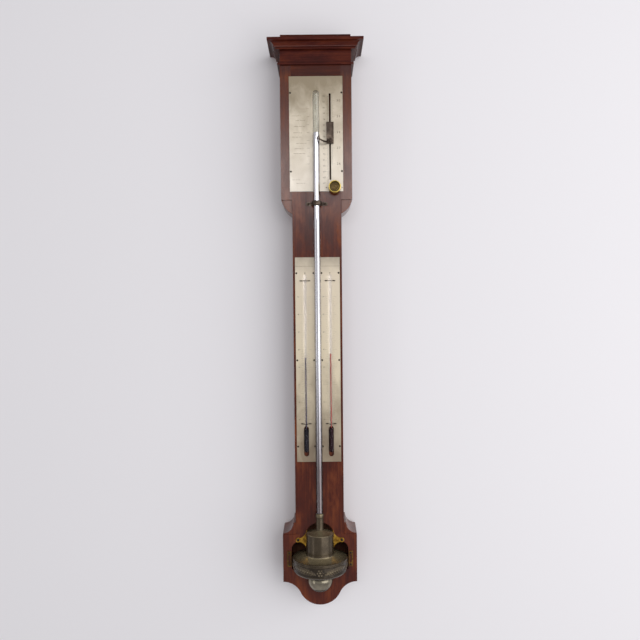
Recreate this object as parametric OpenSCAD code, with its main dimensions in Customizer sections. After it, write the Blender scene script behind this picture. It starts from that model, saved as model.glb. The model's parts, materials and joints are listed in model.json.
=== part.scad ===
// Stick barometer: a mahogany case with a silvered register and rack-driven vernier,
// two thermometers, a straight glass tube and a wide metal cistern.
// Millimetres, +Z up, the wall at y = 0, the front towards -Y, the origin at the hanging hole.

/* [Case] */
// Depth of the case from the wall to its front
case_d = 64; // [60:1:72]
// Width of the trunk
trunk_w = 86; // [84:1:92]
// Thickness of the trunk board and of the other front boards
board_t = 14; // [13:0.5:16]
// Thickness of the trunk's side rails
rail_t = 8; // [5:0.5:10]
// Thickness of the back panel
back_t = 8; // [6:0.5:12]
// Length of the trunk between the base and the head
trunk_len = 592; // [580:1:640]

/* [Head] */
// Width of the head
head_w = 124; // [116:1:136]
// Height of the head from the foot of its stiles to the necking
head_len = 231; // [229:1:250]
// Height of the rail over the register plate
head_rail_h = 18.5; // [12:0.5:24]
// Height of the curved brackets under the stiles
bracket_h = 24; // [20:1:30]
// Radius of the brackets' curve
bracket_r = 35; // [30:1:60]
// How far the brackets stand back from the stiles' front
bracket_back = 2; // [0.5:0.5:4]
// Thickness of the necking moulding
neck_t = 3; // [2:0.5:5]
// How far the necking stands out from the head
neck_out = 4.3; // [2:0.1:8]
// Height of the frieze under the cornice
frieze_h = 22.5; // [16:0.5:30]
// Thickness of the frieze's walls
frieze_wall = 12; // [8:1:16]

/* [Cornice] */
// How far the cornice stands out from the frieze
corn_out = 20.5; // [19:0.5:26]
// Height of the cornice
corn_h = 15.5; // [14.5:0.5:20]
// Height of its top fascia
fascia_h = 4.7; // [3.5:0.1:5.5]
// Projection of its bottom fillet
fillet_out = 7; // [4:0.5:8]
// Height of its bottom fillet
fillet_h = 2.6; // [1.5:0.1:2.8]
// Where its hollow starts, out from the frieze
hollow_in = 9.5; // [8.5:0.1:10]
// Radius of its hollow
hollow_r = 8; // [6:0.1:8]
// Thickness of the cap board
cap_t = 11.5; // [6:0.5:16]
// How far the cap board stands in from the frieze
cap_in = 1; // [0.5:0.5:6]

/* [Base] */
// Width of the base
base_w = 132; // [128:1:140]
// Height of the base between the apron and the coves
block_h = 86; // [84:1:96]
// Height of the apron's ogee
apron_h = 42; // [40:1:48]
// Radius of the apron's round
apron_r = 39; // [34:0.5:44]
// Radius of the coves on the base
cove_r = 19; // [14:0.5:20]
// Thickness of the coves' lip
cove_lip = 2; // [1:0.5:4]
// Height of the sill that carries the cistern, over the apron
sill_rise = 22.5; // [20:0.5:28]
// Height of the niche's wide part over the sill
niche_h = 50; // [46:0.5:51]
// Radius of the niche's shoulders
niche_shoulder_r = 13; // [8:0.5:16]
// Height of the niche's arch over the sill
arch_h = 85; // [84:0.5:92]
// Space between the niche and the cistern
niche_gap = 1.6; // [1:0.1:2]

/* [Hanging] */
// Radius of the hanging hole
hang_r = 4; // [2:0.1:5]
// Distance from the necking down to the hanging hole
hang_drop = 46; // [40:1:70]
// Width of the hanger plate
hanger_w = 40; // [34:1:50]
// Height of the hanger plate
hanger_h = 52; // [44:1:60]
// Thickness of the hanger plate
hanger_t = 2.5; // [2:0.1:3.5]
// Radius of the room behind the hanging hole
hook_room_r = 9; // [7:0.5:11]

/* [Register] */
// Height of the register plate
plate_h = 198; // [190:1:200]
// How far the register plate laps onto each stile
plate_lap = 3.5; // [3:0.1:4.5]
// Thickness of the silvered plates
plate_t = 1.5; // [1:0.1:2]
// How far the plates lie below the wood's face
plate_sink = 0.2; // [0:0.05:0.5]
// Where the vernier's slot lies, right of the middle
slot_x = 24.2; // [23:0.1:25]
// Width of the vernier's slot
slot_w = 3.3; // [3:0.1:4]
// Distance from the plate's top to the vernier's middle
vernier_drop = 98; // [92:1:104]
// Upward travel of the vernier
travel_up = 50; // [30:1:54]
// Downward travel of the vernier
travel_down = 62; // [40:1:64]
// Width of the vernier slider
slider_w = 12.4; // [10:0.1:13]
// Height of the vernier slider
slider_h = 37; // [30:1:40]
// Thickness of the vernier slider
slider_t = 4.2; // [4:0.1:5]
// Height of the knob's axis over the plate's lower edge
knob_rise = 5.5; // [4:0.1:7]
// Radius of the knob
knob_r = 10.65; // [8:0.05:12]
// Length of the knob
knob_len = 14.6; // [10:0.1:17]
// Depth of the dish in the knob's face
knob_dish = 3; // [1:0.1:4]
// Radius of the arbor
arbor_r = 2; // [1.8:0.1:2.4]
// Teeth of the pinion
pinion_teeth = 14; // [14:1:16]
// Size of the teeth, as their pitch over pi
tooth_m = 0.6; // [0.55:0.01:0.65]
// Thickness of the rack
rack_t = 4; // [3:0.1:4.5]
// Width of the rack from its back to its pitch line
rack_w = 6; // [5:0.1:7]
// Thickness of the cock behind the pinion
cock_t = 2; // [1.5:0.1:3]

/* [Pointer] */
// Reach of the pointer from its screw to its tip
pointer_reach = 20.2; // [18:0.1:21]
// Rise of the pointer's tip over its screw
pointer_rise = 1.5; // [0:0.1:3]
// Sag of the pointer's bow
pointer_sag = 4; // [3:0.1:5]
// Width of the pointer's bow
pointer_w = 2.8; // [2:0.1:3.4]
// Thickness of the pointer's strip
pointer_t = 1.6; // [1:0.1:1.8]

/* [Thermometers] */
// Height of the thermometer plates
tp_h = 361.5; // [350:0.5:380]
// Height of the thermometer plates' foot over the base
tp_rise = 130.5; // [110:0.5:135]
// Wood left between the plates and the trunk's edge
tp_margin = 3.8; // [2:0.1:6]
// Distance of each thermometer from the middle
th_x = 22; // [20:0.1:24]
// Radius of the thermometers' stems
stem_r = 2.9; // [2.5:0.1:3.1]
// Radius of the bulbs
bulb_r = 4.15; // [3.8:0.05:4.3]
// Length of the bulbs
bulb_len = 45; // [40:1:52]
// Length of the stems
stem_len = 269; // [250:1:272]
// Radius of the threads of liquid
thread_r = 0.8; // [0.6:0.05:1]
// Height of the mercury thread's top over the plate's foot
mercury_thread_top = 185.3; // [140:0.1:230]
// Height of the spirit thread's top over the plate's foot
spirit_thread_top = 192.3; // [140:0.1:230]

/* [Tube] */
// Radius of the barometer tube
tube_r = 6.1; // [5.5:0.1:6.4]
// Wall of the barometer tube
tube_wall = 1.7; // [1.2:0.1:2]
// Distance of the tube's axis from the case's front
tube_out = 10; // [9:0.1:11]
// Distance from the register plate's top to the tube's top
tube_drop = 27.2; // [20:0.1:34]
// Height of the mercury over its level in the cistern
mercury_h = 756; // [740:1:770]
// Room for the mercury's fall in the tube
mercury_fall = 30; // [20:1:34]
// Height of the tube's clip
clip_h = 6.2; // [5:0.1:9]
// Distance from the head's foot down to the middle of the clip
clip_drop = 7.7; // [4:0.1:16]
// Half width of the clip's ears
clip_ear = 19.5; // [17:0.1:22]
// Thickness of the clip's leather lining
lining_t = 1.4; // [1:0.1:1.8]
// Thickness of the clip's brass
clip_t = 1.3; // [1:0.1:1.8]

/* [Cistern] */
// Radius of the cistern's bowl
bowl_r = 48.9; // [46:0.1:49]
// Height of the bowl
bowl_h = 25; // [22:0.5:28]
// Radius of the bowl's lower edge
bowl_edge_r = 7.5; // [4:0.5:9]
// Wall of the cistern
cistern_wall = 2; // [1.4:0.1:2.5]
// Height of the raised rim on the shoulder
rim_h = 1.6; // [1:0.1:2.5]
// Rise of the shoulder from the rim to the drum
shoulder_rise = 4.4; // [3:0.1:6]
// Radius of the drum
drum_r = 24.5; // [22:0.1:25]
// Height of the drum
drum_h = 38.4; // [34:0.1:40]
// Rise of the drum's lid
lid_rise = 5.4; // [3:0.1:7]
// Wall of the tube's socket
socket_wall = 0.55; // [0.4:0.05:1]
// Height of the socket
socket_h = 29.5; // [24:0.5:34]
// Height of the socket's ring
socket_ring_h = 6.6; // [4:0.1:8]
// Thickness of the socket's ring over its sleeve
socket_ring_t = 0.55; // [0.4:0.05:1]
// Radius of the boss under the bowl
boss_r = 22.9; // [18:0.1:23.5]
// Height of the boss
boss_h = 35.5; // [28:0.5:36]
// Depth of the mercury in the bowl
pool_h = 11.7; // [10:0.1:14]
// Gap between the tube's open end and the bowl's floor
tube_foot_gap = 4; // [3:0.5:6]
// Half height of the lugs at the drum
lug_half = 17.5; // [15:0.5:18]
// Distance of the lugs' screws from the middle
lug_screw_x = 39; // [38:0.5:41]
// Radius of the lugs' eyes
lug_eye_r = 4.3; // [3.8:0.1:5]
// Thickness of the brass lugs and catches
brass_t = 1.4; // [1:0.1:2]
// Width of the catch plates
catch_w = 7.8; // [7:0.1:9]
// Height of the catch plates
catch_h = 28; // [24:1:34]

/* [Clearances] */
// Clearance of shafts, screws and glass in their holes
fit = 0.05; // [0.03:0.01:0.08]
// Gap between pieces that pass each other
slip = 0.3; // [0.25:0.01:0.4]
// Gap round the inlaid plates
inlay_gap = 0.25; // [0.1:0.05:0.4]
// Play between the teeth
backlash = 0.12; // [0.08:0.01:0.2]

/* [Hidden] */
$fn = 96;
over = 1;

// Half widths
trunk_x = trunk_w / 2;
head_x = head_w / 2;
base_x = base_w / 2;

// Planes across the depth, from the front back to the wall
y_front = -case_d;
y_board = y_front + board_t;
y_panel = -back_t;
y_plate = y_front + plate_sink;
y_plate_back = y_plate + plate_t;

// Levels, from the hanging hole
z_head_top = hang_drop;
z_head_foot = z_head_top - head_len;
z_base_top = z_head_foot - trunk_len;
z_apron = z_base_top - block_h;
z_foot = z_apron - apron_h;
z_sill = z_apron + sill_rise;
z_neck_top = z_head_top + neck_t;
z_corn = z_neck_top + frieze_h;
z_corn_top = z_corn + corn_h;
z_plate_top = z_head_top - head_rail_h;
z_plate_foot = z_plate_top - plate_h;
z_tp_foot = z_base_top + tp_rise;
z_tp_top = z_tp_foot + tp_h;

// The ogee's upper radius, so that its two arcs meet on one tangent
ogee_sum = (pow(base_x, 2) + pow(apron_h, 2)) / (2 * apron_h);
ogee_r = ogee_sum - apron_r;
z_ogee_join = z_foot + apron_r - apron_r * (apron_r + ogee_r - apron_h) / ogee_sum;

// Small fasteners: head radius, head height, shank radius, length
plate_screw = [1.7, 0.8, 0.9, 9];
plate_pin = [0.9, 0.5, 0.6, 7];
clip_screw = [2, 1, 1.1, 9];
lug_screw = [2.5, 1.1, 1.3, 10];
catch_screw = [1.8, 0.8, 1, 9];
cock_screw = [2.2, 1, 1.2, 7];
pointer_screw_size = [3.3, 1.8, 1.2, 5];
hanger_screw = [2.8, 1.5, 1.3, 6.5];
tip_gap = 0.4;

// Register screws and pins
plate_x = trunk_x + plate_lap;
plate_screw_in = 1.5;
plate_screw_x = trunk_x + plate_screw_in;
plate_screw_drop = 28.5;
plate_screw_pitch = 135;
z_plate_screw = z_plate_top - plate_screw_drop;
plate_screw_rows = [z_plate_screw, z_plate_screw - plate_screw_pitch];
pin_reach = 14.4;

// Vernier, rack and pinion
stem_margin = 3;
slider_clear = 0.5;
z_vernier = z_plate_top - vernier_drop;
z_stem_top = z_vernier + slider_h / 2 - stem_margin;
z_stem_foot = z_vernier - slider_h / 2 + stem_margin;
slot_end = 3;
z_slot_top = z_stem_top + travel_up + slot_end;
z_slot_foot = z_stem_foot - travel_down - slot_end;
y_slider = y_plate - slider_clear;
tooth_add = 0.8 * tooth_m;
tooth_ded = 1.1 * tooth_m;
tooth_angle = 20;
pinion_rp = tooth_m * pinion_teeth / 2;
pinion_ra = pinion_rp + tooth_add;
pinion_rr = pinion_rp - tooth_ded;
pinion_rb = pinion_rp * cos(tooth_angle);
tooth_pitch = PI * tooth_m;
pitch_x = slot_x + rack_w / 2;
knob_x = pitch_x + pinion_rp;
z_knob = z_plate_foot + knob_rise;
channel_skin = 2.7;
y_channel = y_plate_back + channel_skin;
y_rack = y_channel + 2 * slip;
y_rack_back = y_rack + rack_t;
y_cover = y_rack_back + slip;
pinion_room = 0.5;
rack_end = 4;
z_rack_foot = z_knob - travel_up - pinion_ra - rack_end;
z_rack_top = z_stem_top + over;
z_channel_foot = z_rack_foot - travel_down - 2;
z_channel_top = z_rack_top + travel_up + 2;
channel_x0 = pitch_x - rack_w - slip;
channel_x1 = pitch_x + tooth_add + slip;
bush_wall = 1.8;
bush_r = arbor_r + bush_wall;
pivot_r = arbor_r * 0.75;
collar_r = arbor_r + 0.6;
cock_edge = 2.8;
cock_left = 3.2;
cock_right = 7.8;
cock_screw_z = 10;
cock_half = 15;
cock_x0 = channel_x0 - cock_left - cock_edge;
cock_x1 = knob_x + cock_right + cock_edge;
cock_screw_pts = [
  [channel_x0 - cock_left, z_knob + cock_screw_z],
  [knob_x + cock_right, z_knob - cock_screw_z]
];
rack_rivet_r = 0.8;
rack_rivet_len = rack_t + 2;
rack_rivet_in = 6;
rack_rivet_rows = [z_stem_foot + rack_rivet_in, z_stem_top - rack_rivet_in];
knob_clear = 0.6;
knob_neck = 3;
knob_neck_r = bush_r + 0.9;
y_knob_back = y_plate - knob_clear;
y_knob_front = y_knob_back - knob_neck - knob_len;
knob_wall = 2.4;
y_arbor_tip = y_knob_front + knob_dish + knob_wall;

// Pointer, a strip bent from the slider's face to pass in front of the tube
y_tube = y_front - tube_out;
y_pointer_seat = y_slider - slider_t;
y_pointer_tip = y_tube - tube_r - 0.5;
pointer_x = slot_x;
pointer_up = 5;
z_pointer = z_vernier - slider_h / 2 + pointer_up;
pointer_eye_r = 4.2;
pointer_tip_r = 2.6;
pointer_tip_hole = 1.2;
pointer_taper = 0.7;
pointer_bend_x = pointer_x - pointer_eye_r;
pointer_tip_x = pointer_x - pointer_reach;
pointer_flat = 5;
pointer_step_x = pointer_tip_x + pointer_flat;
pointer_bend = atan2(y_pointer_seat - y_pointer_tip, pointer_bend_x - pointer_step_x);
pointer_chord = sqrt(pow(pointer_reach, 2) + pow(pointer_rise, 2));
pointer_bow_r = pow(pointer_chord, 2) / (8 * pointer_sag) + pointer_sag / 2;
pointer_tilt = atan2(pointer_rise, pointer_reach);

// Thermometers
tp_seam = 0.3;
tp_x0 = tp_seam / 2;
tp_x1 = trunk_x - tp_margin;
tp_screw_out = 2.2;
tp_screw_mid = 7;
tp_screw_end = 27.5;
tp_screw_cols = [tp_screw_mid, tp_x1 - tp_screw_out];
tp_screw_rows = [z_tp_foot + tp_screw_end, (z_tp_foot + z_tp_top) / 2, z_tp_top - tp_screw_end];
y_th = y_plate - stem_r - slip;
bulb_slot_r = bulb_r + slip;
bulb_slot_below = 8;
bulb_slot_above = 1;
bulb_rise = 17.5;
z_bulb = z_tp_foot + bulb_rise;
z_bulb_top = z_bulb + bulb_len;
z_stem_end = z_bulb_top + stem_len;
bulb_shoulder = 6;
bulb_wall = 0.7;
bore_r = thread_r + 0.06;
bulb_pocket = 3;
fill_foot = z_bulb + bulb_r;
fill_top = z_bulb_top - bulb_shoulder - 1;
z_thread_foot = (fill_foot + fill_top) / 2;
tie_r = 0.45;
tie_half = 6.4;
tie_leg_r = 0.6;
tie_knot_r = 0.95;
tie_foot_rise = 5.6;
tie_top_drop = 11;
z_ties = [z_bulb_top + tie_foot_rise, z_stem_end - tie_top_drop];
tie_leg = 5;
top_pin_gap = 2.5;
z_top_pin = z_stem_end + top_pin_gap;

// Cistern, standing on the sill, and the tube in it
z_bowl_rim = z_sill + bowl_h;
z_shoulder = z_bowl_rim + rim_h + shoulder_rise;
z_drum_top = z_shoulder + drum_h;
z_lid = z_drum_top + lid_rise;
socket_r = tube_r + fit + socket_wall;
z_socket_top = z_lid + socket_h;
z_floor = z_sill + cistern_wall;
z_level = z_floor + pool_h;
z_tube_foot = z_floor + tube_foot_gap;
z_tube_top = z_plate_top - tube_drop;
bore_tube = tube_r - tube_wall;
z_meniscus = z_level + mercury_h;
meniscus_h = 1.2;
z_column_foot = z_tube_foot + mercury_fall + 2;
z_clip = z_head_foot - clip_drop;
clip_r = tube_r + fit + lining_t + fit + clip_t;
clip_screw_x = (clip_r + clip_ear) / 2;
lug_rise = 3.5;
z_lug = z_sill + niche_h + lug_rise;
niche_x = bowl_r + niche_gap;
arch_x = drum_r + niche_gap;
boss_niche_r = boss_r + niche_gap;
z_boss_niche = z_sill - boss_h + boss_niche_r - niche_gap;
catch_x = niche_x + 0.5 + catch_w / 2;
catch_rise = 19.5;
z_catch = z_sill + catch_rise;
catch_screw_out = 10.5;
catch_slot = [3, 14];

// Hanger plate
hanger_up = 22;
hanger_edge_x = 6;
hanger_edge_z = 8;
hanger_screw_x = hanger_w / 2 - hanger_edge_x;
hanger_screw_rows = [hanger_up - hanger_edge_z, hanger_up - hanger_h + hanger_edge_z];

wood = "#5c2d20";
wood_dark = "#45201a";
silver = "#cfc6ae";
brass = "#c09a3c";
bronze = "#5c4a40";
pewter = "#565046";
steel = "#6a6660";
glass = "#c8d4d2";
mercury = "#b8bcc0";
spirit = "#b04848";
leather = "#3a2a20";

// Shared shapes

// An outline in x and z, carried from y0 back to y1
module along_y(y0, y1) {
  translate([0, y1, 0]) rotate([90, 0, 0]) linear_extrude(height = y1 - y0) children();
}

// A profile in radius and y, turned about an axis along y
module turned_y(x, z) {
  translate([x, 0, z]) rotate([-90, 0, 0]) rotate_extrude() children();
}

// A profile in radius and z, turned about an upright axis
module turned_z(x, y) {
  translate([x, y, 0]) rotate_extrude() children();
}

// A block between two corners
module block(low, high) {
  translate(low) cube(high - low);
}

// The shape on the right and its mirror image on the left
module left_of() {
  mirror([1, 0, 0]) children();
}

module both_sides() {
  children();
  mirror([1, 0, 0]) children();
}

// A domed, slotted screw along y, its head's seat at y
module screw(size, x, y, z) {
  dome_r = (pow(size[0], 2) + pow(size[1], 2)) / (2 * size[1]);
  difference() {
    turned_y(x, z) {
      intersection() {
        translate([0, y - size[1] + dome_r]) circle(dome_r);
        translate([0, y - size[1]]) square([size[0], size[1]]);
      }
      translate([0, y - 0.1]) square([size[2], size[3] + 0.1]);
    }
    translate([x, y - size[1], z]) cube([3 * size[0], size[1] * 0.8, size[0] * 0.25], center = true);
  }
}

// The hole that such a screw runs in
module screw_hole(size, x, y, z) {
  turned_y(x, z) translate([0, y - over]) square([size[2] + fit, size[3] + over + tip_gap]);
}

// Outlines in x and z

module ogee_outline() {
  difference() {
    translate([-base_x, z_ogee_join]) square([base_w, z_base_top - z_ogee_join]);
    both_sides() translate([base_x, z_apron - ogee_r]) circle(ogee_r);
  }
  intersection() {
    translate([0, z_foot + apron_r]) circle(apron_r);
    translate([-base_x, z_foot]) square([base_w, z_ogee_join - z_foot]);
  }
}

module niche_outline() {
  shoulder_x = niche_x - niche_shoulder_r;
  z_top = z_sill + niche_h;
  translate([-niche_x, z_sill]) square([2 * niche_x, niche_h - niche_shoulder_r]);
  translate([-shoulder_x, z_sill]) square([2 * shoulder_x, niche_h]);
  both_sides() translate([shoulder_x, z_top - niche_shoulder_r]) circle(niche_shoulder_r);
  translate([-arch_x, z_sill]) square([2 * arch_x, arch_h - arch_x]);
  translate([0, z_sill + arch_h - arch_x]) circle(arch_x);
  translate([-boss_niche_r, z_boss_niche]) square([2 * boss_niche_r, z_sill - z_boss_niche + over]);
  translate([0, z_boss_niche]) circle(boss_niche_r);
}

module slot_outline(x, z0, z1, w) {
  translate([x - w / 2, z0 + w / 2]) square([w, z1 - z0 - w]);
  translate([x, z0 + w / 2]) circle(w / 2);
  translate([x, z1 - w / 2]) circle(w / 2);
}

module bracket_outline() {
  width = head_x - trunk_x;
  chord = sqrt(pow(width, 2) + pow(bracket_h, 2));
  reach = sqrt(pow(bracket_r, 2) - pow(chord / 2, 2));
  middle = [trunk_x + width / 2, z_head_foot - bracket_h / 2];
  centre = middle + reach / chord * [-bracket_h, width];
  intersection() {
    translate([trunk_x, z_head_foot - bracket_h]) square([width, bracket_h]);
    translate(centre) circle(bracket_r);
  }
}

module cove_outline() {
  difference() {
    translate([trunk_x, z_base_top]) square([base_x - trunk_x, cove_lip + cove_r]);
    translate([base_x, z_base_top + cove_lip + cove_r]) circle(cove_r);
  }
}

// The cornice in projection and height
module cornice_outline() {
  hollow_out = hollow_in + hollow_r;
  under = corn_h - fascia_h;
  square([fillet_out, fillet_h]);
  difference() {
    translate([0, fillet_h]) square([hollow_out, under - fillet_h]);
    translate([hollow_out, under - hollow_r]) circle(hollow_r);
  }
  translate([0, under]) square([corn_out, fascia_h]);
}

// Pockets shared by the pieces that they cross

module register_pocket() {
  block([-plate_x - inlay_gap, y_front - over, z_plate_foot - inlay_gap],
        [plate_x + inlay_gap, y_plate_back, z_plate_top]);
}

module register_holes() {
  for (z = plate_screw_rows, s = [-1, 1]) screw_hole(plate_screw, s * plate_screw_x, y_plate, z);
  for (x = [knob_x - pin_reach, plate_screw_x]) screw_hole(plate_pin, x, y_plate, z_knob + 1);
}

module thermometer_holes() {
  for (z = tp_screw_rows, x = tp_screw_cols, s = [-1, 1]) screw_hole(plate_screw, s * x, y_plate, z);
  for (s = [-1, 1], z = z_ties, t = [-tie_half, tie_half])
    turned_y(s * th_x + t, z) translate([0, y_th]) square([tie_leg_r + fit, y_plate_back - y_th + tie_leg]);
  for (s = [-1, 1]) screw_hole(plate_pin, s * th_x, y_plate, z_top_pin);
}

module bulb_slots(y0, y1) {
  for (s = [-1, 1])
    along_y(y0, y1)
      slot_outline(s * th_x, z_bulb - bulb_slot_below, z_bulb_top + bulb_slot_above, 2 * bulb_slot_r);
}

module lug_holes() {
  both_sides() screw_hole(lug_screw, lug_screw_x, y_front - brass_t, z_lug);
}

module catch_holes() {
  both_sides()
    for (s = [-1, 1]) screw_hole(catch_screw, catch_x, y_front - brass_t, z_catch + s * catch_screw_out);
}

// Case

module trunk_board() color(wood) difference() {
  block([-trunk_x, y_front, z_base_top], [trunk_x, y_board, z_plate_top]);
  along_y(y_front - over, y_board + over) niche_outline();
  register_pocket();
  register_holes();
  along_y(y_front - over, y_channel + over) slot_outline(slot_x, z_slot_foot, z_slot_top, slot_w);
  turned_y(knob_x, z_knob)
    translate([0, y_front - over]) square([bush_r + fit, y_channel - y_front + 2 * over]);
  block([channel_x0, y_channel, z_channel_foot], [channel_x1, y_board + over, z_channel_top]);
  turned_y(knob_x, z_knob) translate([0, y_channel]) square([pinion_ra + pinion_room, board_t]);
  block([-tp_x1 - inlay_gap, y_front - over, z_tp_foot - inlay_gap],
        [tp_x1 + inlay_gap, y_plate_back, z_tp_top + inlay_gap]);
  thermometer_holes();
  bulb_slots(y_front, y_plate_back + bulb_pocket);
  both_sides() screw_hole(clip_screw, clip_screw_x, y_front - clip_t, z_clip);
  for (p = cock_screw_pts) mirror([0, 1, 0]) screw_hole(cock_screw, p[0], -y_board - cock_t, p[1]);
}

module side_rail() {
  block([trunk_x - rail_t, y_board, z_base_top], [trunk_x, y_panel, z_head_foot]);
}

module side_rail_left() color(wood_dark) left_of() side_rail();

module side_rail_right() color(wood_dark) side_rail();

module back_panel() color(wood_dark) difference() {
  union() {
    block([-niche_x, y_panel, z_sill], [niche_x, 0, z_base_top]);
    block([-trunk_x, y_panel, z_base_top], [trunk_x, 0, z_head_top]);
  }
  block([-hanger_w / 2 - inlay_gap, -hanger_t, hanger_up - hanger_h - inlay_gap],
        [hanger_w / 2 + inlay_gap, over, hanger_up + inlay_gap]);
  turned_y(0, 0) translate([0, y_panel - over]) square([hook_room_r, back_t + over]);
  for (x = [-hanger_screw_x, hanger_screw_x], z = hanger_screw_rows)
    turned_y(x, z)
      translate([0, -hanger_screw[3] - tip_gap]) square([hanger_screw[2] + fit, hanger_screw[3]]);
}

module base_board() color(wood) difference() {
  along_y(y_front, y_board) ogee_outline();
  along_y(y_front - over, y_board + over) niche_outline();
  lug_holes();
  catch_holes();
}

module base_block() {
  along_y(y_board, 0) intersection() {
    ogee_outline();
    translate([niche_x, z_foot]) square([base_x - niche_x, z_base_top - z_foot]);
  }
}

module base_block_left() color(wood_dark) left_of() base_block();

module base_block_right() color(wood_dark) base_block();

module foot_block() color(wood_dark) along_y(y_board, 0) intersection() {
  ogee_outline();
  translate([-niche_x, z_foot]) square([2 * niche_x, z_sill - z_foot]);
}

module base_cove_left() color(wood) left_of() along_y(y_front, 0) cove_outline();

module base_cove_right() color(wood) along_y(y_front, 0) cove_outline();

module head_stile() {
  difference() {
    block([trunk_x, y_front, z_head_foot], [head_x, 0, z_head_top]);
    register_pocket();
    for (z = plate_screw_rows) screw_hole(plate_screw, plate_screw_x, y_plate, z);
    screw_hole(plate_pin, plate_screw_x, y_plate, z_knob + 1);
  }
}

module head_stile_left() color(wood) left_of() head_stile();

module head_stile_right() color(wood) head_stile();

module head_bracket_left() color(wood) left_of() along_y(y_front + bracket_back, 0) bracket_outline();

module head_bracket_right() color(wood) along_y(y_front + bracket_back, 0) bracket_outline();

module head_rail() color(wood) block([-trunk_x, y_front, z_plate_top], [trunk_x, y_board, z_head_top]);

module necking() color(wood_dark)
  block([-head_x - neck_out, y_front - neck_out, z_head_top], [head_x + neck_out, 0, z_neck_top]);

module frieze() color(wood) difference() {
  block([-head_x, y_front, z_neck_top], [head_x, 0, z_corn_top]);
  block([-head_x + frieze_wall, y_front + frieze_wall, z_neck_top - over],
        [head_x - frieze_wall, -frieze_wall, z_corn_top + over]);
}

// Plan of a cornice length, cut on the mitre, as an upright prism
module mitre(points) {
  translate([0, 0, z_corn - over]) linear_extrude(height = corn_h + 2 * over) polygon(points);
}

module cornice_front() color(wood_dark) intersection() {
  translate([-head_x - corn_out, y_front, z_corn]) rotate([90, 0, 90])
    linear_extrude(height = head_w + 2 * corn_out) mirror([1, 0]) cornice_outline();
  mitre([[-head_x - corn_out, y_front - corn_out], [head_x + corn_out, y_front - corn_out],
         [head_x, y_front], [-head_x, y_front]]);
}

module cornice_return() {
  intersection() {
    translate([head_x, 0, z_corn]) rotate([90, 0, 0])
      linear_extrude(height = case_d + corn_out) cornice_outline();
    mitre([[head_x, y_front], [head_x + corn_out, y_front - corn_out], [head_x + corn_out, 0], [head_x, 0]]);
  }
}

module cornice_left() color(wood_dark) left_of() cornice_return();

module cornice_right() color(wood_dark) cornice_return();

module cap_board() color(wood)
  block([-head_x + cap_in, y_front + cap_in, z_corn_top], [head_x - cap_in, 0, z_corn_top + cap_t]);

// Hanging

module hanger_plate() color(brass) difference() {
  block([-hanger_w / 2, -hanger_t, hanger_up - hanger_h], [hanger_w / 2, 0, hanger_up]);
  turned_y(0, 0) translate([0, -hanger_t - over]) square([hang_r, hanger_t + 2 * over]);
  for (x = [-hanger_screw_x, hanger_screw_x], z = hanger_screw_rows)
    translate([x, 0, z]) rotate([90, 0, 0]) {
      translate([0, 0, -over]) cylinder(r = hanger_screw[2] + fit, h = hanger_t + 2 * over);
      cylinder(r1 = hanger_screw[0] + fit, r2 = hanger_screw[2] + fit, h = hanger_screw[1]);
    }
}

module hanger_screws() color(steel)
  for (x = [-hanger_screw_x, hanger_screw_x], z = hanger_screw_rows)
    translate([x, 0, z]) rotate([90, 0, 0]) {
      cylinder(r1 = hanger_screw[0], r2 = hanger_screw[2], h = hanger_screw[1]);
      cylinder(r = hanger_screw[2], h = hanger_screw[3]);
    }

// Register

module register_plate() color(silver) difference() {
  block([-plate_x, y_plate, z_plate_foot], [plate_x, y_plate_back, z_plate_top - inlay_gap]);
  along_y(y_plate - over, y_plate_back + over) slot_outline(slot_x, z_slot_foot, z_slot_top, slot_w);
  turned_y(knob_x, z_knob) translate([0, y_plate - over]) square([bush_r + fit, plate_t + 2 * over]);
  register_holes();
}

module register_screws() color(steel) {
  for (z = plate_screw_rows, s = [-1, 1]) screw(plate_screw, s * plate_screw_x, y_plate, z);
  for (x = [knob_x - pin_reach, plate_screw_x]) screw(plate_pin, x, y_plate, z_knob + 1);
}

module vernier_slider() color(bronze) difference() {
  union() {
    block([slot_x - slider_w / 2, y_slider - slider_t, z_vernier - slider_h / 2],
          [slot_x + slider_w / 2, y_slider, z_vernier + slider_h / 2]);
    block([slot_x - slot_w / 2 + slip, y_slider - over, z_stem_foot],
          [slot_x + slot_w / 2 - slip, y_rack, z_stem_top]);
  }
  screw_hole(pointer_screw_size, pointer_x, y_pointer_seat - pointer_t, z_pointer);
  rack_rivet_holes();
}

// Rack teeth point right, with a tooth level with the pinion's axis
module rack_outline() {
  first = -floor((travel_up + pinion_ra) / tooth_pitch);
  last = floor((travel_down + pinion_ra) / tooth_pitch);
  half = tooth_pitch / 4 - backlash / 4;
  tip = half - tooth_add * tan(tooth_angle);
  root = half + tooth_ded * tan(tooth_angle);
  tooth = [[-tooth_ded, -root], [tooth_add, -tip], [tooth_add, tip], [-tooth_ded, root]];
  teeth = [for (i = [first:last], p = tooth)
    [pitch_x + p[0], z_knob + i * tooth_pitch + p[1]]];
  back_x = pitch_x - rack_w;
  polygon(concat([[back_x, z_rack_foot], [pitch_x - tooth_ded, z_rack_foot]], teeth,
                 [[pitch_x - tooth_ded, z_rack_top], [back_x, z_rack_top]]));
}

module rack_rivet_holes() {
  for (z = rack_rivet_rows)
    turned_y(slot_x, z)
      translate([0, y_rack_back - rack_rivet_len - tip_gap])
        square([rack_rivet_r + fit, rack_rivet_len + tip_gap + over]);
}

module rack() color(brass) difference() {
  along_y(y_rack, y_rack_back) rack_outline();
  rack_rivet_holes();
}

module rack_rivets() color(steel)
  for (z = rack_rivet_rows)
    turned_y(slot_x, z) translate([0, y_rack_back - rack_rivet_len]) square([rack_rivet_r, rack_rivet_len]);

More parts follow.
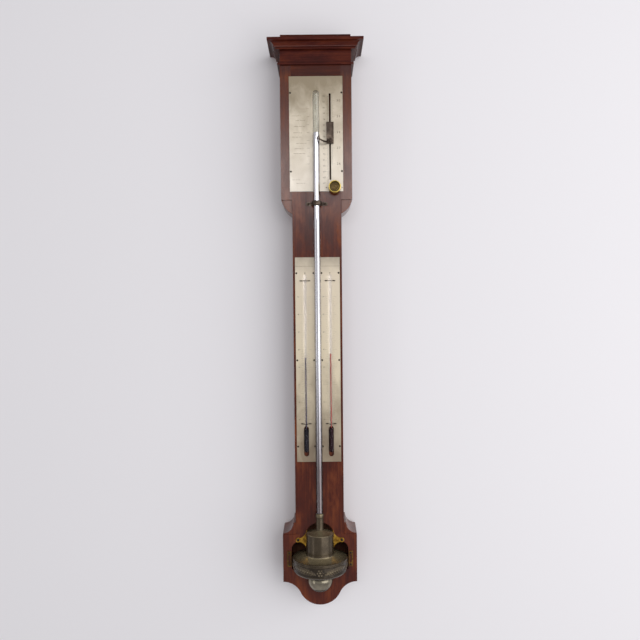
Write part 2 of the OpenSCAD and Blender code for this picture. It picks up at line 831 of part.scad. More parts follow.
// The pointer from the front: an eye, a bow that thins towards the tip, and a ring
module pointer_outline() {
  difference() {
    translate([pointer_x, z_pointer]) {
      circle(pointer_eye_r);
      translate([-pointer_reach, pointer_rise]) circle(pointer_tip_r);
      rotate(-pointer_tilt) intersection() {
        translate([-pointer_chord / 2, pointer_bow_r - pointer_sag]) difference() {
          circle(pointer_bow_r + pointer_w / 2);
          translate([-pointer_taper, 0]) circle(pointer_bow_r - pointer_w / 2);
        }
        translate([-pointer_chord, -2 * pointer_sag]) square([pointer_chord, 2 * pointer_sag]);
      }
    }
    translate([pointer_tip_x, z_pointer + pointer_rise]) circle(pointer_tip_hole);
  }
}

// The pointer's strip from above, in x and y
module pointer_strip() {
  shift = pointer_t * tan(pointer_bend / 2);
  right = pointer_x + pointer_eye_r + over;
  left = pointer_tip_x - pointer_tip_r - over;
  polygon([
    [right, y_pointer_seat], [pointer_bend_x, y_pointer_seat],
    [pointer_step_x, y_pointer_tip], [left, y_pointer_tip],
    [left, y_pointer_tip - pointer_t], [pointer_step_x + shift, y_pointer_tip - pointer_t],
    [pointer_bend_x + shift, y_pointer_seat - pointer_t], [right, y_pointer_seat - pointer_t]
  ]);
}

module pointer_arm() color(bronze) difference() {
  intersection() {
    along_y(y_pointer_tip - pointer_t - over, y_pointer_seat + over) pointer_outline();
    translate([0, 0, z_pointer - pointer_reach]) linear_extrude(height = 2 * pointer_reach) pointer_strip();
  }
  screw_hole(pointer_screw_size, pointer_x, y_pointer_seat - pointer_t, z_pointer);
}

module pointer_screw() color(brass)
  screw(pointer_screw_size, pointer_x, y_pointer_seat - pointer_t, z_pointer);

function involute(a) = tan(a) * 180 / PI - a;

// Half angle of a pinion tooth at radius r
function tooth_half(r) =
  90 / pinion_teeth - backlash / 4 / pinion_rp * 180 / PI
  + involute(tooth_angle) - involute(acos(min(1, pinion_rb / r)));

module pinion_outline() {
  flank = [for (k = [0:4]) pinion_rb + (pinion_ra - pinion_rb) * k / 4];
  side = concat([[pinion_rr, tooth_half(pinion_rb)]], [for (r = flank) [r, tooth_half(r)]]);
  n = len(side) - 1;
  points = [for (i = [0:pinion_teeth - 1], j = [0:2 * n + 1])
    let (q = j <= n ? side[j] : side[2 * n + 1 - j],
         a = 180 + (i + 0.5) * 360 / pinion_teeth + (j <= n ? -q[1] : q[1]))
    q[0] * [cos(a), sin(a)]];
  polygon(points);
}

module pinion_arbor() color(brass) {
  along_y(y_channel + slip, y_rack_back + slip) translate([knob_x, z_knob]) pinion_outline();
  turned_y(knob_x, z_knob) {
    translate([0, y_arbor_tip]) square([arbor_r, y_channel + slip - y_arbor_tip + over]);
    translate([0, y_rack_back]) square([collar_r, y_board - slip - y_rack_back]);
    translate([0, y_board - slip - over]) square([pivot_r, cock_t + slip + over]);
  }
}

module knob() color(brass) turned_y(knob_x, z_knob) difference() {
  union() {
    translate([0, y_knob_back - knob_neck]) square([knob_neck_r, knob_neck]);
    translate([0, y_knob_front + 0.8]) square([knob_r, knob_len - 1.6]);
    translate([0, y_knob_front]) square([knob_r - 0.8, knob_len]);
    translate([knob_r - 0.8, y_knob_front + 0.8]) circle(0.8);
    translate([knob_r - 0.8, y_knob_front + knob_len - 0.8]) circle(0.8);
  }
  translate([-over, y_knob_front - over]) square([knob_r - knob_wall + over, knob_dish + over]);
  translate([-over, y_arbor_tip]) square([arbor_r + 0.02 + over, knob_neck + knob_len]);
}

module arbor_bush() color(brass) turned_y(knob_x, z_knob)
  translate([arbor_r + fit, y_plate]) square([bush_wall - fit, y_channel - y_plate]);

module pinion_cock() color(brass) difference() {
  block([cock_x0, y_board, z_knob - cock_half], [cock_x1, y_board + cock_t, z_knob + cock_half]);
  turned_y(knob_x, z_knob) translate([0, y_board - over]) square([pivot_r + fit, cock_t + 2 * over]);
  for (p = cock_screw_pts) mirror([0, 1, 0]) screw_hole(cock_screw, p[0], -y_board - cock_t, p[1]);
}

module cock_screws() color(steel)
  for (p = cock_screw_pts) mirror([0, 1, 0]) screw(cock_screw, p[0], -y_board - cock_t, p[1]);

module rack_cover() color(wood_dark) {
  block([channel_x0, y_cover, z_channel_foot], [channel_x1, y_board, z_knob - cock_half]);
  block([channel_x0, y_cover, z_knob + cock_half], [channel_x1, y_board, z_channel_top]);
}

// Thermometers

module thermometer_plate() {
  difference() {
    block([tp_x0, y_plate, z_tp_foot], [tp_x1, y_plate_back, z_tp_top]);
    bulb_slots(y_plate - over, y_plate_back + over);
    thermometer_holes();
  }
}

module thermometer_plate_left() color(silver) left_of() thermometer_plate();

module thermometer_plate_right() color(silver) thermometer_plate();

module thermometer_screws() color(steel)
  for (z = tp_screw_rows, x = tp_screw_cols, s = [-1, 1]) screw(plate_screw, s * x, y_plate, z);

// A wire bowed round the front of a stem, with its ends through the plate
module tie(x, z) {
  bow_r = stem_r + fit + tie_r;
  difference() {
    translate([x, y_th, z]) rotate_extrude() translate([bow_r, 0]) circle(tie_r, $fn = 24);
    translate([x - 2 * bow_r, y_th, z - bow_r]) cube([4 * bow_r, 2 * bow_r, 2 * bow_r]);
  }
  for (s = [-1, 1]) {
    translate([x + s * bow_r, y_th, z]) rotate([0, s * 90, 0])
      cylinder(r = tie_r, h = tie_half - bow_r, $fn = 24);
    turned_y(x + s * tie_half, z)
      translate([0, y_th - tie_leg_r])
        square([tie_leg_r, y_plate_back - y_th + tie_leg_r + tie_leg - tip_gap]);
    translate([x + s * tie_half, y_plate - tie_knot_r - fit, z]) sphere(tie_knot_r);
  }
}

module thermometer_ties() color(steel)
  for (s = [-1, 1]) {
    for (z = z_ties) tie(s * th_x, z);
    screw(plate_pin, s * th_x, y_plate, z_top_pin);
  }

// Glass with its bulb, shoulder, stem and bore, as half of a section
module thermometer_section() {
  difference() {
    union() {
      translate([0, z_bulb + bulb_r]) square([bulb_r, bulb_len - bulb_shoulder - bulb_r]);
      intersection() {
        translate([0, z_bulb + bulb_r]) circle(bulb_r);
        translate([0, z_bulb]) square([bulb_r, bulb_r]);
      }
      polygon([[0, z_bulb_top - bulb_shoulder], [bulb_r, z_bulb_top - bulb_shoulder], [stem_r, z_bulb_top],
               [0, z_bulb_top]]);
      translate([0, z_bulb_top]) square([stem_r, stem_len - stem_r]);
      intersection() {
        translate([0, z_stem_end - stem_r]) circle(stem_r);
        translate([0, z_stem_end - stem_r]) square(stem_r);
      }
    }
    translate([-over, fill_foot - fit])
      square([bulb_r - bulb_wall + fit + over, fill_top - fill_foot + 2 * fit]);
    translate([-over, fill_top]) square([bore_r + over, z_stem_end - 2 * stem_r - fill_top]);
  }
}

module mercury_thermometer() color(glass, 0.5) turned_z(-th_x, y_th) thermometer_section();

module spirit_thermometer() color(glass, 0.5) turned_z(th_x, y_th) thermometer_section();

module bulb_filling(x) {
  turned_z(x, y_th)
    translate([bore_r, fill_foot]) square([bulb_r - bulb_wall - bore_r, fill_top - fill_foot]);
}

module mercury_bulb_filling() color(mercury) bulb_filling(-th_x);

module spirit_bulb_filling() color(spirit) bulb_filling(th_x);

module thread(x, top) {
  turned_z(x, y_th) translate([0, z_thread_foot]) square([thread_r, z_tp_foot + top - z_thread_foot]);
}

module mercury_thread() color(mercury) thread(-th_x, mercury_thread_top);

module spirit_thread() color(spirit) thread(th_x, spirit_thread_top);

// Barometer tube

module barometer_tube() color(glass, 0.4) turned_z(0, y_tube) difference() {
  union() {
    translate([0, z_tube_foot]) square([tube_r, z_tube_top - tube_r - z_tube_foot]);
    intersection() {
      translate([0, z_tube_top - tube_r]) circle(tube_r);
      translate([0, z_tube_top - tube_r]) square(tube_r);
    }
  }
  translate([-over, z_tube_foot - over]) square([bore_tube + over, z_tube_top - tube_r - z_tube_foot + over]);
  translate([0, z_tube_top - tube_r]) circle(bore_tube);
}

module mercury_column() color(mercury) turned_z(0, y_tube) {
  cap_r = (pow(bore_tube - fit, 2) + pow(meniscus_h, 2)) / (2 * meniscus_h);
  translate([0, z_column_foot]) square([bore_tube - fit, z_meniscus - meniscus_h - z_column_foot]);
  intersection() {
    translate([0, z_meniscus - cap_r]) circle(cap_r);
    translate([0, z_meniscus - meniscus_h - 0.01]) square([bore_tube - fit, meniscus_h + 0.01]);
  }
}

module tube_clip() color(bronze) difference() {
  union() {
    turned_z(0, y_tube) translate([0, z_clip - clip_h / 2]) square([clip_r, clip_h]);
    block([-clip_ear + clip_h / 2, y_front - clip_t, z_clip - clip_h / 2],
          [clip_ear - clip_h / 2, y_front, z_clip + clip_h / 2]);
    both_sides()
      turned_y(clip_ear - clip_h / 2, z_clip) translate([0, y_front - clip_t]) square([clip_h / 2, clip_t]);
    block([-clip_r + clip_t, y_tube, z_clip - clip_h / 2],
          [clip_r - clip_t, y_front - clip_t, z_clip + clip_h / 2]);
  }
  turned_z(0, y_tube) translate([0, z_clip - clip_h]) square([clip_r - clip_t, 2 * clip_h]);
  both_sides() screw_hole(clip_screw, clip_screw_x, y_front - clip_t, z_clip);
}

module clip_lining() color(leather) turned_z(0, y_tube)
  translate([tube_r + fit, z_clip - clip_h / 2 - over]) square([lining_t, clip_h + 2 * over]);

module clip_screws() color(steel) both_sides() screw(clip_screw, clip_screw_x, y_front - clip_t, z_clip);

// Cistern

module cistern_socket() color(pewter) turned_z(0, y_tube) difference() {
  union() {
    translate([0, z_lid]) square([socket_r, socket_h]);
    translate([0, z_lid]) square([socket_r + socket_ring_t, 1]);
    translate([0, z_socket_top - socket_ring_h]) square([socket_r + socket_ring_t, socket_ring_h - 0.6]);
    translate([0, z_socket_top - 0.7]) square([socket_r, 0.7]);
  }
  translate([-over, z_lid - over]) square([tube_r + fit + over, socket_h + 2 * over]);
}

// Lid, drum and shoulder, spun in one piece
module cistern_drum() color(pewter) turned_z(0, y_tube) {
  hole = tube_r + fit;
  w = cistern_wall;
  rim = 2.2;
  foot = 1.6;
  slope = shoulder_rise / (bowl_r - rim - drum_r - foot);
  polygon([
    [hole, z_lid], [socket_r + 1.4, z_lid], [drum_r - 1.2, z_drum_top], [drum_r, z_drum_top - 1.2],
    [drum_r, z_shoulder + foot], [drum_r + foot, z_shoulder], [bowl_r - rim, z_bowl_rim + rim_h],
    [bowl_r - rim, z_bowl_rim + rim_h + 0.8], [bowl_r - 0.5, z_bowl_rim + rim_h + 0.8],
    [bowl_r, z_bowl_rim + rim_h + 0.3], [bowl_r, z_bowl_rim], [bowl_r - w, z_bowl_rim],
    [drum_r - w, z_bowl_rim + slope * (bowl_r - drum_r - rim)], [drum_r - w, z_drum_top - w],
    [hole, z_lid - w]
  ]);
}

// The bowl's section, drawn in from its outside by some amount
module bowl_section(inset) {
  edge = bowl_edge_r - inset;
  wide = bowl_r - inset;
  foot = z_sill + inset;
  translate([0, foot + edge]) square([wide, bowl_h - edge]);
  translate([0, foot]) square([wide - edge, bowl_h]);
  intersection() {
    translate([wide - edge, foot + edge]) circle(edge);
    translate([0, foot]) square([wide, bowl_h]);
  }
}

module cistern_bowl() color(pewter) turned_z(0, y_tube) difference() {
  intersection() {
    bowl_section(0);
    translate([0, z_sill]) square([bowl_r, bowl_h]);
  }
  bowl_section(cistern_wall);
}

// A neck and a bead over a round cup
module cistern_boss() color(pewter) turned_z(0, y_tube) {
  cup_r = boss_r - 1.1;
  bead_h = 5.2;
  z_cup = z_sill - boss_h + cup_r;
  translate([0, z_cup]) square([boss_r - 1.4, z_sill - z_cup]);
  translate([0, z_cup]) square([boss_r - bead_h / 4, bead_h]);
  translate([0, z_cup + bead_h / 4]) square([boss_r, bead_h / 2]);
  for (z = [z_cup + bead_h / 4, z_cup + bead_h * 3 / 4])
    translate([boss_r - bead_h / 4, z]) circle(bead_h / 4);
  intersection() {
    translate([0, z_cup]) circle(cup_r);
    translate([0, z_cup - cup_r]) square([cup_r, cup_r + 0.01]);
  }
}

module cistern_mercury() color(mercury) turned_z(0, y_tube) difference() {
  intersection() {
    translate([0, -slip]) bowl_section(cistern_wall + slip);
    translate([0, z_floor]) square([bowl_r, pool_h]);
  }
  translate([-over, z_sill]) square([tube_r + slip + over, bowl_h]);
}

module lug_outline() {
  neck = lug_eye_r - 0.8;
  scoop = lug_half - neck + over;
  translate([lug_screw_x, z_lug]) circle(lug_eye_r);
  difference() {
    translate([0, z_lug - lug_half]) square([lug_screw_x, 2 * lug_half]);
    for (s = [-1, 1]) translate([lug_screw_x, z_lug + s * (neck + scoop)]) circle(scoop);
  }
}

module cistern_lugs() color(brass) both_sides() difference() {
  along_y(y_front - brass_t, y_front) lug_outline();
  turned_z(0, y_tube) translate([0, z_sill]) square([drum_r + fit, arch_h]);
  screw_hole(lug_screw, lug_screw_x, y_front - brass_t, z_lug);
}

module lug_screws() color(steel) both_sides() screw(lug_screw, lug_screw_x, y_front - brass_t, z_lug);

module catch_plates() color(brass) both_sides() difference() {
  block([catch_x - catch_w / 2, y_front - brass_t, z_catch - catch_h / 2],
        [catch_x + catch_w / 2, y_front, z_catch + catch_h / 2]);
  along_y(y_front - brass_t - over, y_front + over)
    slot_outline(catch_x, z_catch - catch_slot[1] / 2, z_catch + catch_slot[1] / 2, catch_slot[0]);
  for (s = [-1, 1]) screw_hole(catch_screw, catch_x, y_front - brass_t, z_catch + s * catch_screw_out);
}

module catch_screws() color(steel) both_sides()
  for (s = [-1, 1]) screw(catch_screw, catch_x, y_front - brass_t, z_catch + s * catch_screw_out);

trunk_board();
side_rail_left();
side_rail_right();
back_panel();
base_board();
base_block_left();
base_block_right();
foot_block();
base_cove_left();
base_cove_right();
head_stile_left();
head_stile_right();
head_bracket_left();
head_bracket_right();
head_rail();
necking();
frieze();
cornice_front();
cornice_left();
cornice_right();
cap_board();
hanger_plate();
hanger_screws();
register_plate();
register_screws();
vernier_slider();
rack();
rack_rivets();
pointer_arm();
pointer_screw();
pinion_arbor();
knob();
arbor_bush();
pinion_cock();
cock_screws();
rack_cover();
thermometer_plate_left();
thermometer_plate_right();
thermometer_screws();
thermometer_ties();
mercury_thermometer();
spirit_thermometer();
mercury_bulb_filling();
spirit_bulb_filling();
mercury_thread();
spirit_thread();
barometer_tube();
mercury_column();
tube_clip();
clip_lining();
clip_screws();
cistern_socket();
cistern_drum();
cistern_bowl();
cistern_boss();
cistern_mercury();
cistern_lugs();
lug_screws();
catch_plates();
catch_screws();
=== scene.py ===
"""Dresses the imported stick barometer: its woods, metals, glass, engraved scales and light."""

from __future__ import annotations

import json
import logging
import math
from dataclasses import dataclass, field
from enum import Enum
from typing import Any, Iterable, Sequence

import bmesh
import bpy
import numpy as np
from mathutils import Matrix, Vector

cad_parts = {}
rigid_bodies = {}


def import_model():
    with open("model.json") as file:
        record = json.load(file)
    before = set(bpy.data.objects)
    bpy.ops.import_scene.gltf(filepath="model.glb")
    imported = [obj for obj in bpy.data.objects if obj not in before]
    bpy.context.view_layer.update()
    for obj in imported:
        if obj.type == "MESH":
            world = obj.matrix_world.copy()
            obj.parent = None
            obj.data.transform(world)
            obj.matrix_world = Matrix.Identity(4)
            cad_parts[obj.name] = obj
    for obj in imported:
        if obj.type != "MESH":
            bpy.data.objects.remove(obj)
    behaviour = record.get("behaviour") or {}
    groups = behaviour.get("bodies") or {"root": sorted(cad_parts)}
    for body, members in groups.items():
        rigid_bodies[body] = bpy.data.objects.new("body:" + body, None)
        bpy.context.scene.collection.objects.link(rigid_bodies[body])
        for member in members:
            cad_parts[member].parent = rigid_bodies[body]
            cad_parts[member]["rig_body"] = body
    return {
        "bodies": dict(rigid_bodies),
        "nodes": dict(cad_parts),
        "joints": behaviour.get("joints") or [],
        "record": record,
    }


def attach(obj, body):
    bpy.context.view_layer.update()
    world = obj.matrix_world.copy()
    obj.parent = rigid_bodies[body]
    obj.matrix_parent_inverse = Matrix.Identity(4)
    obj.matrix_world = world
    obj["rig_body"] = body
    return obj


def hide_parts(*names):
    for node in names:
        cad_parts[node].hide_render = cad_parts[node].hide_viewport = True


LOG = logging.getLogger("barometer")
MM = 0.001
TAU = math.tau
FOOT = -905.0  # height of the apron's foot in the frame, mm
PLATE_Y = -63.8  # the silvered plates' front, mm
TUBE_Y = -74.0  # the tube's axis, mm
WET = 0.03  # how far a liquid reaches into its glass, so that no air shows between them, mm
WAX = 0.03  # how far the engraving's wax stands over a plate, mm
WELD = 1e-7  # points of a new piece that are closer than this are one, m

Array = np.ndarray
Tree = bpy.types.NodeTree
Socket = bpy.types.NodeSocket
Material = bpy.types.Material
Piece = bpy.types.Object
Corners = Sequence[Sequence[float]]


def linear(code: str) -> tuple[float, float, float, float]:
    """Turns an sRGB hex colour into linear light.

    Args:
        code: the colour as "#rrggbb".

    Returns:
        Red, green, blue and an alpha of 1, in linear light.
    """
    raw = np.array([int(code[i : i + 2], 16) for i in (1, 3, 5)]) / 255.0
    r, g, b = np.where(raw <= 0.04045, raw / 12.92, ((raw + 0.055) / 1.055) ** 2.4)
    return float(r), float(g), float(b), 1.0


def add(
    tree: Tree,
    kind: str,
    inputs: dict[Any, Any] | Sequence[Any] = (),
    out: Any = 0,
    stops: Sequence[tuple[float, str]] = (),
    **settings: Any,
) -> Socket | None:
    """Adds a node with its settings and links.

    Args:
        tree: the node tree.
        kind: the node's type.
        inputs: values, or outputs that feed them, by socket or in the sockets' order.
        out: the output that is wanted.
        stops: places and hex colours of a colour ramp.
        settings: the node's own properties.

    Returns:
        The wanted output, or None for a node that has none.
    """
    node = tree.nodes.new(kind)
    for key, value in settings.items():
        setattr(node, key, value)
    for key, value in inputs.items() if isinstance(inputs, dict) else enumerate(inputs):
        if isinstance(value, Socket):
            tree.links.new(value, node.inputs[key])
        else:
            node.inputs[key].default_value = value
    for i, (place, code) in enumerate(stops):
        elements = node.color_ramp.elements
        element = elements[i] if i < len(elements) else elements.new(place)
        element.position, element.color = place, linear(code)
    return node.outputs[out] if node.outputs else None


class Recipe:
    """One material while it is mixed: its tree and the Object coordinates, in metres."""

    def __init__(self, name: str) -> None:
        """Starts an empty material.

        Args:
            name: the material's name.
        """
        self.material = bpy.data.materials.new(name)
        self.material.use_nodes = True
        self.tree = self.material.node_tree
        self.tree.nodes.clear()
        self.place = add(self.tree, "ShaderNodeTexCoord", out="Object")

    def mottle(
        self, size_mm: Sequence[float], seed: float, detail: float, rough: float = 0.55, warp: float = 0.0
    ) -> Socket:
        """Unevenness whose patches have a real size along x, y and z.

        Args:
            size_mm: the patches' size along each axis.
            seed: a shift of the pattern.
            detail: octaves of finer patches.
            rough: strength of the finer patches.
            warp: how far the patches are swirled.

        Returns:
            The unevenness, about 0.25 to 0.75.
        """
        scale = tuple(1.0 / (MM * s) for s in size_mm)
        shift = (seed, 1.7 * seed, 2.3 * seed)
        mapped = add(self.tree, "ShaderNodeMapping", {"Vector": self.place, "Scale": scale, "Location": shift})
        inputs = {"Vector": mapped, "Scale": 1.0, "Detail": detail, "Roughness": rough, "Distortion": warp}
        return add(self.tree, "ShaderNodeTexNoise", inputs)

    def climb(self, low_h: float, high_h: float, top: float = 1.0) -> Socket:
        """A ramp from 0 at one height to `top` at another, in millimetres over the apron's foot."""
        z = add(self.tree, "ShaderNodeSeparateXYZ", {"Vector": self.place}, "Z")
        return add(self.tree, "ShaderNodeMapRange", [z, (low_h + FOOT) * MM, (high_h + FOOT) * MM, 0.0, top])

    def serve(
        self, inputs: dict[str, Any], height: Socket | None = None, strength: float = 0.1, depth_mm: float = 0.1
    ) -> Material:
        """Ends the material with its shader.

        Args:
            inputs: the shader's values and links.
            height: the relief, where the surface has one.
            strength: how strongly the relief shows.
            depth_mm: the relief's depth.

        Returns:
            The material.
        """
        if height is not None:
            relief = {"Height": height, "Strength": strength, "Distance": depth_mm * MM}
            inputs = {**inputs, "Normal": add(self.tree, "ShaderNodeBump", relief)}
        shader = add(self.tree, "ShaderNodeBsdfPrincipled", inputs)
        add(self.tree, "ShaderNodeOutputMaterial", {"Surface": shader})
        return self.material


class Grain(Enum):
    """The way that a board's grain runs: how much longer its streaks are along x, y and z."""

    UPRIGHT = (1.0, 1.0, 22.0)
    ACROSS = (22.0, 1.0, 1.0)
    DEEP = (1.0, 22.0, 1.0)


@dataclass(frozen=True)
class Mahogany:
    """Old mahogany veneer under French polish: a cloudy red-brown figure with faint streaks
    and short dark pores filled flush, so the eye gets depth under a thin, even gloss."""

    name: str
    dark: str
    body: str
    light: str
    grain: Grain = Grain.UPRIGHT
    streak_mm: float = 3.2
    figure_mm: float = 22.0
    gloss: float = 0.17
    sheen: float = 0.2
    cornice_shade_h: float = 2000.0
    seed: float = 0.0

    def material(self) -> Material:
        """Mixes the wood, darker above a set height as painted shade under the cornice's overhang.

        Returns:
            The material.
        """
        mix = Recipe(self.name)
        tree, along = mix.tree, self.grain.value
        streaks = mix.mottle([self.streak_mm * k for k in along], self.seed, 8.0, 0.6, 0.6)
        figure = mix.mottle([self.figure_mm * (1.0 + 0.11 * k) for k in along], self.seed + 4.0, 5.0, 0.6, 0.35)
        # Pores are about 0.2 mm wide. They are drawn 0.6 mm wide, so that they show in the render.
        pores = mix.mottle([0.6 if k < 2.0 else 8.0 for k in along], self.seed + 9.0, 2.0, 0.5)
        pore = add(tree, "ShaderNodeMapRange", [pores, 0.60, 0.72, 0.0, 0.5])
        cloudy = add(tree, "ShaderNodeMath", [figure, 0.66], operation="MULTIPLY")
        tone = add(tree, "ShaderNodeMath", [streaks, 0.34, cloudy], operation="MULTIPLY_ADD")
        # Painted shade: the wood darkens above this height, where the cornice overhangs it.
        cornice_shade = mix.climb(self.cornice_shade_h, self.cornice_shade_h + 12.0, 0.14)
        tone = add(tree, "ShaderNodeMath", [tone, cornice_shade], operation="SUBTRACT")
        stops = [(0.34, self.dark), (0.485, self.body), (0.64, self.light)]
        colour = add(tree, "ShaderNodeValToRGB", {"Fac": tone}, stops=stops)
        colour = add(tree, "ShaderNodeMix", {0: pore, 6: colour, 7: linear("#180705")}, 2, data_type="RGBA")
        rough = add(tree, "ShaderNodeMapRange", [figure, 0.3, 0.7, self.gloss + 0.07, self.gloss - 0.03])
        depth = add(tree, "ShaderNodeMath", [tone, pore], operation="SUBTRACT")
        look = {"Base Color": colour, "Roughness": rough, "IOR": 1.5, "Specular IOR Level": self.sheen}
        return mix.serve(look, depth, 0.10, 0.12)


@dataclass(frozen=True)
class SilveredBrass:
    """Silvered brass under yellowed lacquer: a satin, cream-grey face with cloudy tarnish
    and grey specks, paler or darker along its height: partly tarnish, and partly painted
    reflection of the room, brightest near eye level and darker towards the dim room above and below."""

    name: str
    foot: str
    middle: str
    top: str
    foot_h: float
    top_h: float
    smudge: float = 0.0
    seed: float = 0.0

    def material(self) -> Material:
        """Mixes the silvering.

        Returns:
            The material.
        """
        mix = Recipe(self.name)
        tree = mix.tree
        rise = mix.climb(self.foot_h, self.top_h)
        clouds = mix.mottle((24.0, 24.0, 36.0), self.seed, 5.0, 0.55, 0.8)
        drift = add(tree, "ShaderNodeMapRange", [clouds, 0.3, 0.7, -0.12, 0.12])
        level = add(tree, "ShaderNodeMath", [rise, drift], operation="ADD", use_clamp=True)
        # The ramp along the height is partly tarnish and partly painted reflection: bright near eye level, darker
        # towards the dim room above and below.
        stops = [(0.0, self.foot), (0.5, self.middle), (0.92, self.top)]
        colour = add(tree, "ShaderNodeValToRGB", {"Fac": level}, stops=stops)
        specks = mix.mottle((1.5, 1.5, 1.5), self.seed + 3.0, 3.0, 0.6)
        speck = add(tree, "ShaderNodeMapRange", [specks, 0.60, 0.78, 0.0, 0.4])
        colour = add(tree, "ShaderNodeMix", {0: speck, 6: colour, 7: linear("#6e6450")}, 2, data_type="RGBA")
        if self.smudge:
            near_top = add(tree, "ShaderNodeMapRange", [rise, 0.92, 1.0, 0.0, self.smudge])
            soot = add(tree, "ShaderNodeMath", [near_top, clouds], operation="MULTIPLY")
            colour = add(tree, "ShaderNodeMix", {0: soot, 6: colour, 7: linear("#4c4438")}, 2, data_type="RGBA")
        rough = add(tree, "ShaderNodeMapRange", [clouds, 0.3, 0.7, 0.34, 0.46])
        # Hand-rubbed lines run up the plate, 0.4 mm apart.
        rubbed = mix.mottle((0.4, 0.4, 30.0), self.seed + 6.0, 2.0)
        return mix.serve({"Base Color": colour, "Metallic": 0.3, "Roughness": rough}, rubbed, 0.06, 0.04)


@dataclass(frozen=True)
class TurnedMetal:
    """Turned and lacquered brass, bronze or iron: a metal whose hollows have gone dark and
    whose edges are rubbed bright. The attribute `wear_and_highlight` runs from 0 in a hollow to 1 on an edge,
    and on the cistern drum's shoulder it is set high as a painted highlight."""

    name: str
    hollow: str
    body: str
    edge: str
    rough: float = 0.34
    metallic: float = 1.0
    patch_mm: float = 9.0
    worn: bool = False
    drift: float = 0.16

    def material(self) -> Material:
        """Mixes the metal.

        Returns:
            The material.
        """
        mix = Recipe(self.name)
        tree = mix.tree
        patches = mix.mottle([self.patch_mm] * 3, 0.0, 6.0, 0.6, 0.6)
        if self.worn:
            wear_and_highlight = add(tree, "ShaderNodeAttribute", out="Fac", attribute_name="wear_and_highlight")
            drift = add(tree, "ShaderNodeMapRange", [patches, 0.28, 0.72, -self.drift, self.drift])
            tone = add(tree, "ShaderNodeMath", [wear_and_highlight, drift], operation="ADD", use_clamp=True)
        else:
            tone = add(tree, "ShaderNodeMapRange", [patches, 0.28, 0.72, 0.1, 0.9])
        stops = [(0.0, self.hollow), (0.5, self.body), (1.0, self.edge)]
        colour = add(tree, "ShaderNodeValToRGB", {"Fac": tone}, stops=stops)
        rough = add(tree, "ShaderNodeMapRange", [patches, 0.3, 0.7, self.rough + 0.1, self.rough - 0.07])
        # Fine scratches and handling marks, 0.9 mm across.
        fine = mix.mottle((0.9, 0.9, 0.9), 5.0, 3.0)
        return mix.serve({"Base Color": colour, "Metallic": self.metallic, "Roughness": rough}, fine, 0.1, 0.03)


@dataclass(frozen=True)
class DrawnGlass:
    """Drawn lead glass: clear and smooth, faintly grey, with long, hardly visible cords in
    its tint where it was drawn. Its IOR is kept low, so that less glitters in the walls."""

    name: str
    tint: str = "#eef0f0"
    cord: str = "#e4e6e4"
    ior: float = 1.38

    def material(self) -> Material:
        """Mixes the glass.

        Returns:
            The material.
        """
        mix = Recipe(self.name)
        cords = mix.mottle((1.5, 1.5, 120.0), 2.0, 2.0)
        tint = add(mix.tree, "ShaderNodeValToRGB", {"Fac": cords}, stops=[(0.35, self.cord), (0.6, self.tint)])
        return mix.serve({"Base Color": tint, "Transmission Weight": 1.0, "Roughness": 0.0, "IOR": self.ior})


@dataclass(frozen=True)
class Liquid:
    """Mercury or dyed spirit: a smooth, wet surface with no texture but a slight cloud."""

    name: str
    deep: str
    body: str
    metallic: float = 0.0
    rough: float = 0.5
    foot_shade: str = ""
    foot_shade_h: tuple[float, float] = (245.0, 450.0)

    def material(self) -> Material:
        """Mixes the liquid, with painted shade towards the tube's foot where it has one.

        Returns:
            The material.
        """
        mix = Recipe(self.name)
        cloud = mix.mottle((5.0, 5.0, 40.0), 1.0, 3.0)
        colour = add(mix.tree, "ShaderNodeValToRGB", {"Fac": cloud}, stops=[(0.3, self.deep), (0.7, self.body)])
        # Painted shade: the mercury darkens towards the tube's foot, where it reflects the dim low room.
        if self.foot_shade:
            unshaded = mix.climb(*self.foot_shade_h)
            colour = add(mix.tree, "ShaderNodeMix", {0: unshaded, 6: linear(self.foot_shade), 7: colour}, 2, data_type="RGBA")
        look = {"Base Color": colour, "Metallic": self.metallic, "Roughness": self.rough}
        # A dyed liquid wets the glass, so that its own face hardly shines.
        return mix.serve({**look, "Specular IOR Level": 0.1})


@dataclass(frozen=True)
class DullCoat:
    """Engraver's wax or oiled leather: a dull, uneven dark surface with a fine grain."""

    name: str
    dark: str
    light: str
    grain_mm: float
    rough: float = 0.7

    def material(self) -> Material:
        """Mixes the dull surface.

        Returns:
            The material.
        """
        mix = Recipe(self.name)
        grain = mix.mottle([self.grain_mm] * 3, 1.0, 4.0, 0.6)
        colour = add(mix.tree, "ShaderNodeValToRGB", {"Fac": grain}, stops=[(0.3, self.dark), (0.7, self.light)])
        return mix.serve({"Base Color": colour, "Roughness": self.rough}, grain, 0.3, 0.1)


Coat = Mahogany | SilveredBrass | TurnedMetal | DrawnGlass | Liquid | DullCoat


